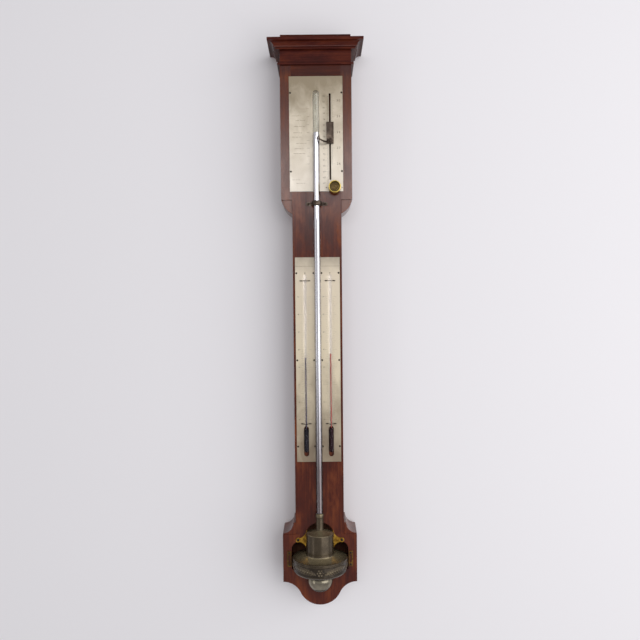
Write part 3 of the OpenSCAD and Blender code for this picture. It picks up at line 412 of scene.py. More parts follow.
class Finish:
    """Every finish on the barometer."""

    crown = Mahogany("mahogany_crown", "#2e0c07", "#431812", "#5c2818", Grain.ACROSS, sheen=0.12, seed=1.0)
    # The returns' tones are lighter than the front's: end grain, and painted reflection of the pale wall beside them.
    crown_side = Mahogany("mahogany_crown_side", "#34140e", "#4c231b", "#66382c", Grain.DEEP, sheen=0.08, seed=2.0)
    # The rail's tones are darker than the stiles': partly its own wood, and partly painted shade under the cornice.
    rail = Mahogany("mahogany_rail_shaded", "#34110a", "#451b10", "#5a2a18", Grain.ACROSS, seed=2.5)
    stile = Mahogany("mahogany_stile", "#3e1308", "#54240e", "#6c3418", sheen=0.36, cornice_shade_h=931.0, seed=3.0)
    trunk = Mahogany("mahogany_trunk", "#36100a", "#4e1d0f", "#72381c", sheen=0.26, figure_mm=18.0, seed=14.3)
    base = Mahogany("mahogany_base", "#3a1009", "#501d0d", "#6e3214", sheen=0.3, figure_mm=20.0, seed=5.0)
    carcass = Mahogany("mahogany_carcass", "#3a1e14", "#563222", "#704834", gloss=0.5, seed=6.0)
    register = SilveredBrass("silvered_register", "#d2c9bc", "#c2b7a5", "#857862", 734.5, 932.5, seed=1.0)
    scale = SilveredBrass("silvered_scale", "#8a7a66", "#d2c5ab", "#c9bca7", 258.5, 620.0, 0.9, 2.0)
    knob = TurnedMetal("brass_knob", "#30271d", "#745e2b", "#ecd070", 0.28, 0.9, 6.0, True, 0.06)
    brass = TurnedMetal("lacquered_brass", "#402e16", "#906c28", "#d4aa4c", 0.3, 1.0, 6.0)
    tarnished = TurnedMetal("tarnished_brass", "#34200f", "#563a1a", "#8a6a2c", 0.4, 0.8, 7.0)
    works = TurnedMetal("plain_brass", "#7c6434", "#a88a44", "#c4a65c", 0.36)
    bronze = TurnedMetal("bronzed_brass", "#201812", "#3e332b", "#62564a", 0.34, 0.75)
    cistern = TurnedMetal("bronzed_cistern", "#1e160f", "#4e4333", "#b4a684", 0.24, 0.62, 11.0, True, 0.12)
    boss = TurnedMetal("polished_boss", "#18140f", "#484236", "#aca490", 0.16, 0.95, 11.0, True, 0.1)
    steel = TurnedMetal("browned_steel", "#1c1612", "#322820", "#4c4036", 0.42, 0.8, 2.0)
    glass = DrawnGlass("drawn_glass")
    thin_glass = DrawnGlass("thin_glass", "#f4f5fa", "#ecedf4", 1.14)
    mercury = Liquid("mercury", "#d6d3d9", "#e2e0e6", 1.0, 0.05, "#6e6466")
    bore_mercury = Liquid("mercury_in_bore", "#1c1734", "#2a2446")
    bulb_mercury = Liquid("mercury_in_bulb", "#121014", "#1c181e")
    bore_spirit = Liquid("dyed_spirit", "#86201c", "#9c302a")
    bulb_spirit = Liquid("dyed_spirit_in_bulb", "#160a0c", "#241014")
    wax = DullCoat("engravers_wax", "#3c3428", "#5c5240", 0.8)
    worn_wax = DullCoat("worn_wax", "#7c705c", "#988c76", 2.5)
    leather = DullCoat("clip_leather", "#1c120c", "#32241a", 1.2)


def link(item: Piece) -> Piece:
    """Links an object to the scene and returns it."""
    bpy.context.scene.collection.objects.link(item)
    return item


def put(name: str, points: Array, faces: Iterable[Sequence[int]], sharp_deg: float = 38.0) -> Piece:
    """Makes an object at the origin and joins points that lie together.

    Args:
        name: the piece's name.
        points: n by 3 points in millimetres.
        faces: the points of each face, counter-clockwise from outside.
        sharp_deg: edges that turn more than this stay sharp.

    Returns:
        The object, linked to the scene.
    """
    mesh = bpy.data.meshes.new(name)
    corners = faces.tolist() if isinstance(faces, Array) else list(faces)
    mesh.from_pydata((np.asarray(points, float) * MM).tolist(), [], corners)
    work = bmesh.new()
    work.from_mesh(mesh)
    bmesh.ops.remove_doubles(work, verts=work.verts, dist=WELD)
    bmesh.ops.dissolve_degenerate(work, edges=work.edges, dist=WELD)
    work.to_mesh(mesh)
    work.free()
    mesh.shade_smooth()
    mesh.set_sharp_from_angle(angle=math.radians(sharp_deg))
    return link(bpy.data.objects.new(name, mesh))


def quads(rows: int, columns: int, closed: bool = False) -> Array:
    """Faces of a grid of points, numbered row by row, whose last column meets its first.

    Args:
        rows: rows of the grid.
        columns: columns of the grid.
        closed: whether the last row meets the first too.

    Returns:
        An n by 4 array of point numbers.
    """
    i, j = np.arange(rows if closed else rows - 1)[:, None], np.arange(columns)[None, :]
    below, above, right = i * columns, (i + 1) % rows * columns, (j + 1) % columns
    return np.stack([below + j, below + right, above + right, above + j], axis=-1).reshape(-1, 4)


def places(mesh: bpy.types.Mesh) -> Array:
    """Reads the points of a mesh.

    Args:
        mesh: the mesh.

    Returns:
        Its points, n by 3, in its own unit.
    """
    flat = np.empty(len(mesh.vertices) * 3)
    mesh.vertices.foreach_get("co", flat)
    return flat.reshape(-1, 3)


def rub(piece: Piece, wear_and_highlight: Array) -> None:
    """Stores how rubbed each point of a piece is, from 0 in a hollow to 1 on an edge; a piece may also set it high as
    a painted highlight.
    """
    store = piece.data.attributes.new("wear_and_highlight", "FLOAT", "POINT")
    store.data.foreach_set("value", np.asarray(wear_and_highlight, np.float32))


def rounded(points: Corners, radius: float, steps: int = 5, closed: bool = False) -> Array:
    """Rounds a polyline: each corner becomes a parabola that starts and ends `radius` from it.

    Args:
        points: the corners.
        radius: how far from a corner its round starts.
        steps: points on each round.
        closed: whether the last corner joins the first.

    Returns:
        The rounded polyline, n by 2.
    """
    p = np.asarray(points, float)
    a, b = np.roll(p, 1, 0) - p, np.roll(p, -1, 0) - p
    la, lb = (np.maximum(np.linalg.norm(v, axis=1), 1e-9) for v in (a, b))
    r = np.minimum(radius, 0.48 * np.minimum(la, lb))
    if not closed:
        r[[0, -1]] = 0.0
    start, end = p + a * (r / la)[:, None], p + b * (r / lb)[:, None]
    t = np.linspace(0.0, 1.0, steps)[None, :, None]
    curve = (1 - t) ** 2 * start[:, None] + 2 * t * (1 - t) * p[:, None] + t**2 * end[:, None]
    return curve.reshape(-1, 2)


def arc(radius: float, height: float, turn: Array, lift: float | None = None) -> Array:
    """A round in a section: radius times cosine, and height plus lift, or else radius, times sine."""
    return np.column_stack([radius * np.cos(turn), height + (lift or radius) * np.sin(turn)])


def lathe(name: str, sections: Sequence[Array], centre: tuple[float, float], turns: int = 96) -> Piece:
    """Turns sections about an upright axis: each point goes round a circle of its own radius.

    Args:
        name: the piece's name.
        sections: each n by 2 of radius and height in the frame, going up outside and down inside.
            One that starts and ends off the axis closes.
        centre: x and y of the axis.
        turns: points round the circle.

    Returns:
        The turned piece.
    """
    angle = np.arange(turns) * TAU / turns
    points, faces, count = [], [], 0
    for section in sections:
        radius, along = section[:, 0][:, None], section[:, 1][:, None] + 0.0 * angle
        x, y = centre[0] + radius * np.cos(angle), centre[1] + radius * np.sin(angle)
        points.append(np.stack([x, y, along], -1).reshape(-1, 3))
        faces.append(quads(len(section), turns, bool(section[0, 0] > 0 and section[-1, 0] > 0)) + count)
        count += len(section) * turns
    return put(name, np.concatenate(points), np.concatenate(faces))


@dataclass
class Shop:
    """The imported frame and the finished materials, shared by every sub-assembly."""

    frame: dict[str, Any]
    made: dict[Coat, Material] = field(default_factory=dict)
    weld_m: float = 2e-6
    flat_deg: float = 0.6
    smooth_deg: float = 32.0
    bevel_deg: float = 38.0

    def dress(self, piece: Piece, finish: Coat) -> None:
        """Gives a piece its finish, mixed on first use.

        Args:
            piece: the piece.
            finish: its finish.
        """
        if finish not in self.made:
            self.made[finish] = finish.material()
        piece.data.materials.clear()
        piece.data.materials.append(self.made[finish])

    def keep(self, finish: Coat, *nodes: str) -> None:
        """Keeps CAD nodes as they are, under a finish.

        Args:
            finish: the finish.
            nodes: the nodes' names.
        """
        for node in nodes:
            self.dress(self.frame["nodes"][node], finish)
            LOG.info("kept %s as %s", node, finish.name)

    def swap(self, piece: Piece, finish: Coat, *nodes: str) -> None:
        """Puts a piece in the place of CAD nodes, riding as they do.

        Args:
            piece: the new piece.
            finish: its finish.
            nodes: the nodes that it stands for.
        """
        self.dress(piece, finish)
        piece.visible_shadow = not isinstance(finish, DrawnGlass)  # the lamps shine through glass
        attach(piece, self.frame["nodes"][nodes[0]]["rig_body"])
        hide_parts(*nodes)
        LOG.info("made %s in place of %s", piece.name, ", ".join(nodes))

    def lay(self, piece: Piece, finish: Coat, body: str, slot: str) -> None:
        """Adds a piece that no CAD node has.

        Args:
            piece: the new piece.
            finish: its finish.
            body: the body it rides on.
            slot: the record's material slot; not used.
        """
        self.dress(piece, finish)
        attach(piece, body)
        LOG.info("laid %s on %s", piece.name, body)

    def soften(self, finish: Coat, width_mm: float, *nodes: str) -> None:
        """Swaps CAD nodes for copies whose edges are eased by a small bevel.

        Args:
            finish: the finish.
            width_mm: the bevel's width.
            nodes: the nodes' names.
        """
        for node in nodes:
            mesh = self.frame["nodes"][node].data.copy()
            if "custom_normal" in mesh.attributes:
                mesh.attributes.remove(mesh.attributes["custom_normal"])
            work = bmesh.new()
            work.from_mesh(mesh)
            bmesh.ops.remove_doubles(work, verts=work.verts, dist=self.weld_m)
            flat = math.radians(self.flat_deg)
            bmesh.ops.dissolve_limit(work, angle_limit=flat, verts=work.verts, edges=work.edges)
            work.to_mesh(mesh)
            work.free()
            mesh.shade_smooth()
            mesh.set_sharp_from_angle(angle=math.radians(self.smooth_deg))
            piece = link(bpy.data.objects.new(f"eased_{node}", mesh))
            bevel = piece.modifiers.new("eased_edges", "BEVEL")
            bevel.width, bevel.segments, bevel.use_clamp_overlap = width_mm * MM, 2, True
            bevel.limit_method, bevel.angle_limit = "ANGLE", math.radians(self.bevel_deg)
            bevel.harden_normals = True
            self.swap(piece, finish, node)


@dataclass
class Case:
    """The mahogany case: crown, head, trunk and base."""

    shop: Shop
    edge_mm: float = 0.5

    def build(self) -> None:
        """Eases and finishes every board."""
        shop, edge = self.shop, self.edge_mm
        shop.soften(Finish.crown, edge, "cap_board", "frieze", "necking")
        shop.soften(Finish.crown, 0.25, "cornice_front")
        shop.soften(Finish.crown_side, 0.25, "cornice_left", "cornice_right")
        shop.soften(Finish.rail, 0.15, "head_rail")
        shop.soften(Finish.stile, 0.3, "head_stile_left", "head_stile_right")
        shop.soften(Finish.stile, edge, "head_bracket_left", "head_bracket_right")
        shop.soften(Finish.trunk, 0.3, "trunk_board")
        shop.soften(Finish.trunk, edge, "side_rail_left", "side_rail_right")
        shop.soften(Finish.base, edge, "base_board", "base_block_left", "base_block_right", "foot_block")
        shop.soften(Finish.base, 0.9, "base_cove_left", "base_cove_right")
        shop.keep(Finish.carcass, "back_panel", "rack_cover")
        shop.keep(Finish.works, "hanger_plate")
        shop.keep(Finish.steel, "hanger_screws")


@dataclass
class Engraving:
    """Wax-filled strokes and numbers on one plate, gathered and made as one piece."""

    points: list[Array] = field(default_factory=list)
    faces: list[Sequence[int]] = field(default_factory=list)
    count: int = 0

    def put(self, points: Array, faces: Iterable[Sequence[int]]) -> None:
        """Adds flat faces.

        Args:
            points: n by 2 of x and z in millimetres.
            faces: the points of each face.
        """
        self.faces.extend(tuple(int(k) + self.count for k in face) for face in faces)
        self.points.append(np.asarray(points, float))
        self.count += len(points)

    def strokes(self, x0: Array | float, x1: Array | float, z: Array, width: float) -> None:
        """Adds level strokes: each is a thin oblong between two x at one height.

        Args:
            x0: the strokes' left ends.
            x1: the strokes' right ends.
            z: their heights in the frame.
            width: their width.
        """
        z, h = np.asarray(z, float), width / 2
        a, b = np.broadcast_to(x0, z.shape), np.broadcast_to(x1, z.shape)
        corners = [np.stack(pair, -1) for pair in ((a, z - h), (b, z - h), (b, z + h), (a, z + h))]
        self.put(np.stack(corners, 1).reshape(-1, 2), np.arange(4 * z.size).reshape(-1, 4))

    def upright(self, x: float, z0: float, z1: float, width: float) -> None:
        """Adds one upright stroke between two heights."""
        self.strokes(x - width / 2, x + width / 2, np.array([(z0 + z1) / 2]), z1 - z0)

    def number(self, text: str, x: float, z: float, size: float, gap: float = 1.0) -> None:
        """Adds a plain number, centred on a point.

        Args:
            text: the digits.
            x: the middle's x.
            z: the middle's height in the frame.
            size: its body height.
            gap: how far apart the digits stand.
        """
        curve = bpy.data.curves.new("digits", "FONT")
        curve.body, curve.size, curve.resolution_u, curve.space_character = text, size, 3, gap
        curve.align_x, curve.align_y = "CENTER", "CENTER"
        holder = link(bpy.data.objects.new("digits", curve))
        shape = holder.evaluated_get(bpy.context.evaluated_depsgraph_get()).to_mesh()
        flat, faces = places(shape)[:, :2], [tuple(p.vertices) for p in shape.polygons]
        bpy.data.objects.remove(holder)
        bpy.data.curves.remove(curve)
        self.put(flat + (x, z), faces)

    def make(self, name: str) -> Piece:
        """Makes the strokes one thin piece on the plates' front.

        Args:
            name: the piece's name.

        Returns:
            The piece.
        """
        flat = np.concatenate(self.points)
        piece = put(name, np.column_stack([flat[:, 0], np.full(len(flat), PLATE_Y - WAX), flat[:, 1]]), self.faces)
        skin = piece.modifiers.new("depth", "SOLIDIFY")
        skin.thickness, skin.offset = WAX * MM, -1.0
        return piece


@dataclass
class Register:
    """The silvered register with its slot, vernier, pointer and setting knob."""

    shop: Shop
    slot_x: float = 24.2
    knob_x: float = 31.4
    knob_h: float = 740.0
    inch_mm: float = 27.07
    inch_28_h: float = 836.0
    level_h: float = 78.2
    scale_gap: float = 3.2
    flutes: float = 60.0
    flute_mm: float = 0.22

    def build(self) -> None:
        """Makes the register's pieces."""
        shop = self.shop
        shop.keep(Finish.register, "register_plate")
        shop.keep(Finish.steel, "register_screws", "cock_screws", "rack_rivets", "rack")
        shop.keep(Finish.works, "pinion_arbor", "arbor_bush", "pinion_cock")
        shop.soften(Finish.bronze, 0.5, "vernier_slider")
        shop.soften(Finish.bronze, 0.25, "pointer_arm")
        shop.keep(Finish.bronze, "pointer_screw")
        self.engrave()
        self.knob()

    def engrave(self) -> None:
        """Engraves a centimetre scale left of the slot, an inch scale right of it, and blank ruled lines."""
        work = Engraving()
        left, right = self.slot_x - self.scale_gap, self.slot_x + self.scale_gap
        for n in range(67, 83):
            work.number(str(n), left - 7.2, FOOT + self.level_h + 10.0 * n, 3.8, 1.15)
        millimetre = np.arange(670, 821)
        heights = FOOT + self.level_h + millimetre
        longer = np.where(millimetre % 10 == 0, 3.4, np.where(millimetre % 5 == 0, 2.4, 1.6))
        work.strokes(left - longer, left, heights, 0.16)
        work.upright(left, heights[0], heights[-1], 0.16)
        for n in range(26, 31):
            work.number(str(n), right + 11.6, FOOT + self.inch_28_h + self.inch_mm * (n - 28), 5.4, 1.4)
        line = np.arange(-25, 31)
        heights = FOOT + self.inch_28_h + self.inch_mm * line / 12.0
        longer = np.where(line % 12 == 0, 5.0, np.where(line % 6 == 0, 3.4, 2.0))
        work.strokes(right, right + longer, heights, 0.18)
        work.upright(right, heights[0], heights[-1], 0.18)
        half = FOOT + self.inch_28_h + self.inch_mm * np.arange(-4, 5) / 2.0
        work.strokes(-16.0, -11.5, half, 0.3)
        self.shop.lay(work.make("register_engraving"), Finish.wax, "case", "steel")
        rules = Engraving()
        for i, h in enumerate((864.6, 856.8, 846.4, 835.6, 828.2, 817.4, 808.2, 799.8, 754.6, 748.6)):
            start = -42.0 + 2.3 * (i * 7 % 4)
            ends = start + np.cumsum([5.0 + i * 5 % 4, 7.5 - i * 3 % 5, 4.0 + i * 2 % 3])
            begins = np.concatenate([[start], ends[:-1] + 1.2])
            rules.strokes(begins, ends, np.full(3, FOOT + h), 0.5)
        self.shop.lay(rules.make("register_rules"), Finish.worn_wax, "case", "steel")

    def knob(self) -> None:
        """Turns the knob about y: a milled rim round a dished face with a ring and a centre dot.

        The milling is a cosine of `flutes`, each `flute_mm` deep, on the rim alone.
        """
        section = rounded([
            (0.0, -76.0), (2.3, -76.0), (2.3, -64.4), (4.9, -64.4), (5.0, -66.6), (5.2, -67.2), (10.1, -67.6),
            (10.65, -69.2), (10.65, -80.0), (10.6, -80.9), (10.1, -81.8), (9.4, -82.0), (8.7, -81.6), (8.3, -79.4),
            (7.6, -78.4), (5.4, -78.3), (5.1, -78.8), (4.6, -78.8), (4.3, -78.3), (0.95, -78.3), (0.75, -78.9),
            (0.0, -78.9),
        ], 0.35, 4)
        turns = 240
        angle = np.arange(turns) * TAU / turns
        radius, along = section[:, 0][:, None], section[:, 1][:, None] + 0.0 * angle
        rim = np.clip((radius - 10.3) / 0.3, 0.0, 1.0) * np.clip((along + 80.6) / 0.6, 0.0, 1.0)
        radius = radius - 0.5 * self.flute_mm * rim * (1.0 - np.cos(self.flutes * angle))
        middle = FOOT + self.knob_h
        grid = np.stack([self.knob_x - radius * np.sin(angle), along, middle + radius * np.cos(angle)], -1)
        piece = put("setting_knob", grid.reshape(-1, 3), quads(len(section), turns), 50.0)
        place = places(piece.data) / MM
        far = np.hypot(place[:, 0] - self.knob_x, place[:, 2] - middle)
        dish = (far < 8.4) & (place[:, 1] < -77.0)
        ring = dish & ((np.abs(far - 4.85) < 0.4) | (far < 0.8))
        rub(piece, np.where(ring, 0.3, np.where(dish, 0.1, np.clip((far - 7.5) / 2.4, 0.3, 0.9))))
        self.shop.swap(piece, Finish.knob, "knob")


@dataclass
class Thermometers:
    """The mercury and spirit thermometers on their plates."""

    shop: Shop
    x: float = 22.0
    y: float = -67.0
    bulb_h: float = 276.0
    neck_h: float = 321.0
    top_h: float = 590.0
    bulb_r: float = 4.15
    stem_r: float = 2.9
    bore_r: float = 0.86
    wall: float = 0.65
    ease_len: float = 6.0
    tie_x: float = 7.1
    tie_h: tuple[float, float] = (326.6, 579.0)
    zero_h: float = 396.0
    degree_mm: float = 3.1

    def build(self) -> None:
        """Makes the thermometers' pieces."""
        shop = self.shop
        shop.keep(Finish.scale, "thermometer_plate_left", "thermometer_plate_right")
        shop.keep(Finish.steel, "thermometer_screws", "thermometer_ties")
        shop.keep(Finish.bore_mercury, "mercury_thread")
        shop.keep(Finish.bore_spirit, "spirit_thread")
        self.glass("mercury", -self.x, Finish.bulb_mercury)
        self.glass("spirit", self.x, Finish.bulb_spirit)
        self.knots()
        self.engrave()

    def glass(self, kind: str, x: float, filling: Liquid) -> None:
        """Blows one glass: a round-ended bulb, a neck eased by a cubic, a stem, and the hollow inside.

        The filling has the hollow's shape, and reaches a hair into the glass. The bore in which the
        thread moves is left free.

        Args:
            kind: the liquid's name in the CAD nodes.
            x: its axis.
            filling: the finish of the liquid in the bulb.
        """
        r, s, b, rise = self.bulb_r, self.stem_r, self.bore_r, self.ease_len
        turn = np.linspace(-math.pi / 2, 0.0, 12)
        t = np.linspace(0.0, 1.0, 9)
        ease = t * t * (3.0 - 2.0 * t)
        bulb = arc(r, self.bulb_h + r, turn)
        neck = np.column_stack([r + (s - r) * ease, self.neck_h - rise + rise * t])
        crown = arc(s, self.top_h - s, np.linspace(0.0, math.pi / 2, 10))
        stem = np.linspace((s, self.neck_h + 0.5), (s, self.top_h - s - 0.5), 8)
        outside = np.concatenate([bulb, neck, stem, crown]) + (0.0, FOOT)
        outside[[0, -1], 0] = 0.0
        inner = r - self.wall
        pit = arc(inner, self.bulb_h + r, turn)
        throat = np.column_stack([inner + (b + 0.3 - inner) * ease, self.neck_h - 0.5 - rise + rise * t])
        bore_end = self.top_h - 2 * s
        hollow = np.concatenate([pit, throat, [(b, self.neck_h - 0.4), (b, bore_end), (0.0, bore_end)]])
        hollow[0, 0] = 0.0
        inside = hollow[::-1] + (0.0, FOOT)
        glass = lathe(f"glass_{kind}", [outside, inside], (x, self.y), 48)
        self.shop.swap(glass, Finish.thin_glass, f"{kind}_thermometer")
        skin = np.concatenate([pit[pit[:, 0] > b + 0.05], throat]) + (WET, 0.0)
        core = np.array([(b, skin[-1, 1]), (b, skin[0, 1])])
        liquid = np.concatenate([skin, core]) + (0.0, FOOT)
        self.shop.swap(lathe(f"filling_{kind}", [liquid], (x, self.y), 48), filling, f"{kind}_bulb_filling")

    def knots(self) -> None:
        """Twists the tie wires' ends: small egg shapes with a two-start ridge along x."""
        rows, columns = 17, 20
        u = np.linspace(0.0, math.pi, rows)[:, None]
        v = (np.arange(columns) * TAU / columns)[None, :]
        along = -2.3 * np.cos(u) + 0.0 * v
        radius = np.sin(u) ** 0.8 * (0.86 + 0.12 * np.cos(2.0 * v + 2.6 * along))
        egg = np.stack([along, radius * np.cos(v), radius * np.sin(v)], -1).reshape(-1, 3)
        xs = [(stem - self.tie_x, stem + self.tie_x) for stem in (-self.x, self.x)]
        spots = np.array([(x, PLATE_Y - 1.0, FOOT + h) for pair in xs for h in self.tie_h for x in pair])
        points = (egg[None] + spots[:, None]).reshape(-1, 3)
        first = np.arange(len(spots)) * len(egg)
        faces = (quads(rows, columns)[None] + first[:, None, None]).reshape(-1, 4)
        self.shop.lay(put("tie_knots", points, faces), Finish.steel, "case", "steel")

    def engrave(self) -> None:
        """Engraves degree strokes on both sides of each stem, and a rule across the top."""
        for name, side in (("left", -1.0), ("right", 1.0)):
            work = Engraving()
            degree = np.arange(-20, 51)
            heights = FOOT + self.zero_h + self.degree_mm * degree
            longer = np.where(degree % 10 == 0, 6.4, np.where(degree % 5 == 0, 4.6, 3.0))
            stem, clear = side * self.x, 4.2
            work.strokes(stem - clear - longer, stem - clear, heights, 0.16)
            work.strokes(stem + clear, stem + clear + longer, heights, 0.16)
            for n in range(-20, 51, 10):
                work.number(str(abs(n)), stem - 12.2, FOOT + self.zero_h + self.degree_mm * n, 3.0)
            work.strokes(side * 20.0 - 18.6, side * 20.0 + 18.6, np.array([FOOT + 604.5]), 0.3)
            self.shop.lay(work.make(f"thermometer_engraving_{name}"), Finish.wax, "case", "steel")


@dataclass
class Tube:
    """The barometer tube, its mercury and its clip."""

    shop: Shop
    r: float = 6.1
    bore: float = 4.4
    foot_h: float = 70.5
    top_h: float = 905.3
    mercury_foot_h: float = 102.5
    mercury_h: float = 834.2
    meniscus: float = 1.3

    def build(self) -> None:
        """Makes the tube's pieces: round domes inside and out, and a meniscus of a quarter oval.

        The mercury reaches a hair into the glass, so that the eye finds no air between them.
        """
        shop = self.shop
        dome = np.linspace(0.0, math.pi / 2, 14)
        middle = self.top_h - self.r
        outer, inner = arc(self.r, middle, dome), arc(self.bore, middle, dome[::-1])
        down = np.linspace((self.bore, middle - 0.5), (self.bore, self.foot_h), 12)
        up = np.linspace((self.r, self.foot_h), (self.r, middle - 0.5), 12)
        section = np.concatenate([inner, down, up, outer]) + (0.0, FOOT)
        section[[0, -1], 0] = 0.0
        shop.swap(lathe("glass_tube", [section], (0.0, TUBE_Y), 64), Finish.glass, "barometer_tube")
        r = self.bore + WET
        crest = arc(r, self.mercury_h - self.meniscus, dome, self.meniscus)
        side = np.linspace((r, self.mercury_foot_h), (r, self.mercury_h - 1.5), 12)
        column = np.concatenate([[(0.0, self.mercury_foot_h)], side, crest]) + (0.0, FOOT)
        column[-1, 0] = 0.0
        shop.swap(lathe("mercury_in_tube", [column], (0.0, TUBE_Y), 64), Finish.mercury, "mercury_column")
        shop.soften(Finish.bronze, 0.3, "tube_clip")
        shop.keep(Finish.leather, "clip_lining")
        shop.keep(Finish.steel, "clip_screws")


@dataclass
class Cistern:
    """The bronzed cistern: socket, drum, embossed bowl and boss, with brass fixings."""

    shop: Shop
    bowl_r: float = 48.9
    band_h: tuple[float, float] = (70.6, 86.4)
    relief_mm: float = 1.0

    def build(self) -> None:
        """Makes the cistern's pieces."""
        shop = self.shop
        shop.soften(Finish.brass, 0.25, "cistern_lugs")
        shop.soften(Finish.tarnished, 0.25, "catch_plates")
        shop.keep(Finish.steel, "lug_screws", "catch_screws")
        shop.keep(Finish.mercury, "cistern_mercury")
        self.turned("cistern_socket", [
            (6.18, 168.6), (6.18, 139.6), (7.6, 139.6), (7.6, 140.4), (6.9, 141.0), (6.6, 142.0), (6.6, 161.4),
            (7.0, 161.9), (7.25, 162.4), (7.25, 167.6), (6.95, 168.3), (6.5, 168.8),
        ], 0.25, [(139, 0.7), (141, 0.42), (161, 0.42), (163, 0.55), (169, 0.6)])
        self.turned("cistern_drum", [
            (6.2, 137.4), (22.6, 131.8), (22.6, 95.2), (46.9, 89.6), (48.8, 89.6), (48.8, 90.8), (48.3, 91.7),
            (47.2, 92.0), (26.6, 95.0), (25.2, 95.7), (24.5, 97.2), (24.5, 99.2), (24.25, 99.6), (24.5, 100.0),
            (24.5, 132.2), (24.3, 133.4), (23.3, 134.1), (8.6, 139.0), (7.7, 139.5), (6.2, 139.5),
        ], 0.5, [
            # Painted highlight: the drum's shoulder, 92.4 to 95 mm up, is set brightest, standing in for the glow it
            # catches from the room.
            (89, 0.3), (91.8, 0.34), (92.4, 0.95), (95, 1.0), (97, 0.4), (132, 0.38), (134, 0.7), (135, 0.7),
            (139, 0.8),
        ])
        self.bowl()
        self.turned("cistern_boss", [
            (0.0, 29.0), (4.6, 29.3), (9.0, 30.3), (12.6, 31.9), (15.4, 34.0), (16.8, 35.8), (16.9, 36.5),
            (17.6, 36.9), (19.4, 39.4), (21.0, 42.6), (22.2, 46.4), (22.8, 49.6), (22.9, 53.0), (22.4, 55.8),
            (21.4, 57.4), (20.8, 57.8), (20.6, 58.6), (20.8, 59.6), (21.4, 60.2), (21.4, 64.5), (0.0, 64.5),
        ], 0.7, [
            (29, 0.5), (35, 0.5), (36.4, 0.15), (37.4, 0.7), (44, 0.8), (54, 0.72), (57, 0.4), (58.6, 0.3),
            (60.4, 0.85), (62, 0.5), (64, 0.35),
        ], Finish.boss)

    def turned(
        self, node: str, section: Corners, radius: float, wear_and_highlight: Corners, finish: TurnedMetal = Finish.cistern
    ) -> None:
        """Turns one metal piece from its section and marks how rubbed it is at each height.

        Args:
            node: the CAD node it stands for.
            section: radius and height of its corners.
            radius: how far the corners are rounded.
            wear_and_highlight: heights with how rubbed the metal is there; on the drum's shoulder, a painted
                highlight.
            finish: its metal.
        """
        line = rounded(section, radius, 5, section[0][0] > 0) + (0.0, FOOT)
        piece = lathe(f"turned_{node}", [line], (0.0, TUBE_Y), 144)
        heights, values = np.array(wear_and_highlight, float).T
        rub(piece, np.interp(places(piece.data)[:, 2] / MM - FOOT, heights, values))
        self.shop.swap(piece, finish, node)

    def relief(self, angle: Array, rise: Array) -> Array:
        """Height of the leaf band: a rosette at the front, and feathered leaves rising away from it.

        The rosette's outline is a circle with a cosine of six petals, and its relief a cosine ring
        round a button. A leaf's midrib climbs with the root of its length, and its half width is
        the root of a sine. It is domed across, and its slanting barbs are a cosine of the length
        and of the distance from the midrib.

        Args:
            angle: angle from the front, in radians.
            rise: 0 at the band's foot and 1 at its top.

        Returns:
            Relief from 0 to 1.
        """
        far = np.abs(angle)
        x, y = 3.1 * angle, rise - 0.5
        out = np.hypot(x, y)
        petals = 0.36 + 0.07 * np.cos(6.0 * np.arctan2(y, x))
        rosette = np.clip((petals - out) / 0.08, 0.0, 1.0) * (0.55 + 0.45 * np.cos(TAU * out / 0.36))
        length = np.clip((far - 0.17) / 0.95, 0.0, None) % 1.0
        width = 0.36 * np.sqrt(np.sin(np.clip(length, 0.02, 0.98) * math.pi))
        across = np.abs(rise - 0.3 - 0.42 * np.sqrt(length)) / width
        barbs = 0.5 + 0.5 * np.cos(TAU * (10.0 * length - 0.9 * across))
        dome = np.sqrt(np.clip(1.0 - across**2, 0.0, 1.0))
        leaf = (across < 1.0) * (0.15 + 0.25 * dome + 0.45 * barbs + 0.25 * np.exp(-((across / 0.14) ** 2)))
        return np.clip(np.where(far < 0.15, rosette, leaf), 0.0, 1.0)

    def bowl(self) -> None:
        """Raises the bowl: a band of leaves under the rim, over a rounded foot."""
        low, high = self.band_h
        flat = self.bowl_r - 0.1 - self.relief_mm
        band = np.linspace(low, high, 60)
        under = rounded([(0.0, 64.5), (39.0, 64.5), (43.6, 65.4), (46.4, 67.6), (47.5, 69.6), (flat, low)], 2.2, 7)
        over = rounded([(flat, high), (48.2, 86.9), (48.75, 87.6), (48.75, 89.1), (48.4, 89.5), (46.9, 89.5)], 0.4, 5)
        inner = np.array([(46.0, 72.0), (44.2, 68.6), (41.0, 66.6), (0.0, 66.6)])
        section = np.concatenate([under, np.column_stack([np.full(band.shape, flat), band]), over, inner])
        turns = 720
        angle = np.arange(turns) * TAU / turns
        rise = ((section[:, 1] - low) / (high - low))[:, None]
        inside = np.zeros(len(section))
        inside[len(under) : len(under) + len(band)] = 1.0
        front = (angle + 1.5 * math.pi) % TAU - math.pi
        carve = self.relief(front[None, :] + 0.0 * rise, np.clip(rise, 0.0, 1.0) + 0.0 * front) * inside[:, None]
        radius = section[:, 0][:, None] + self.relief_mm * carve
        along = section[:, 1][:, None] + 0.0 * angle + FOOT
        grid = np.stack([radius * np.cos(angle), TUBE_Y + radius * np.sin(angle), along], -1)
        piece = put("embossed_cistern_bowl", grid.reshape(-1, 3), quads(len(section), turns), 60.0)
        place = places(piece.data) / MM
        raised = (np.hypot(place[:, 0], place[:, 1] - TUBE_Y) - flat) / self.relief_mm
        banded = (place[:, 2] > low + FOOT + 0.1) & (place[:, 2] < high + FOOT - 0.1)
        rub(piece, np.where(banded, 0.12 + 0.5 * np.clip(raised, 0.0, 1.0), 0.36))
        self.shop.swap(piece, Finish.cistern, "cistern_bowl")


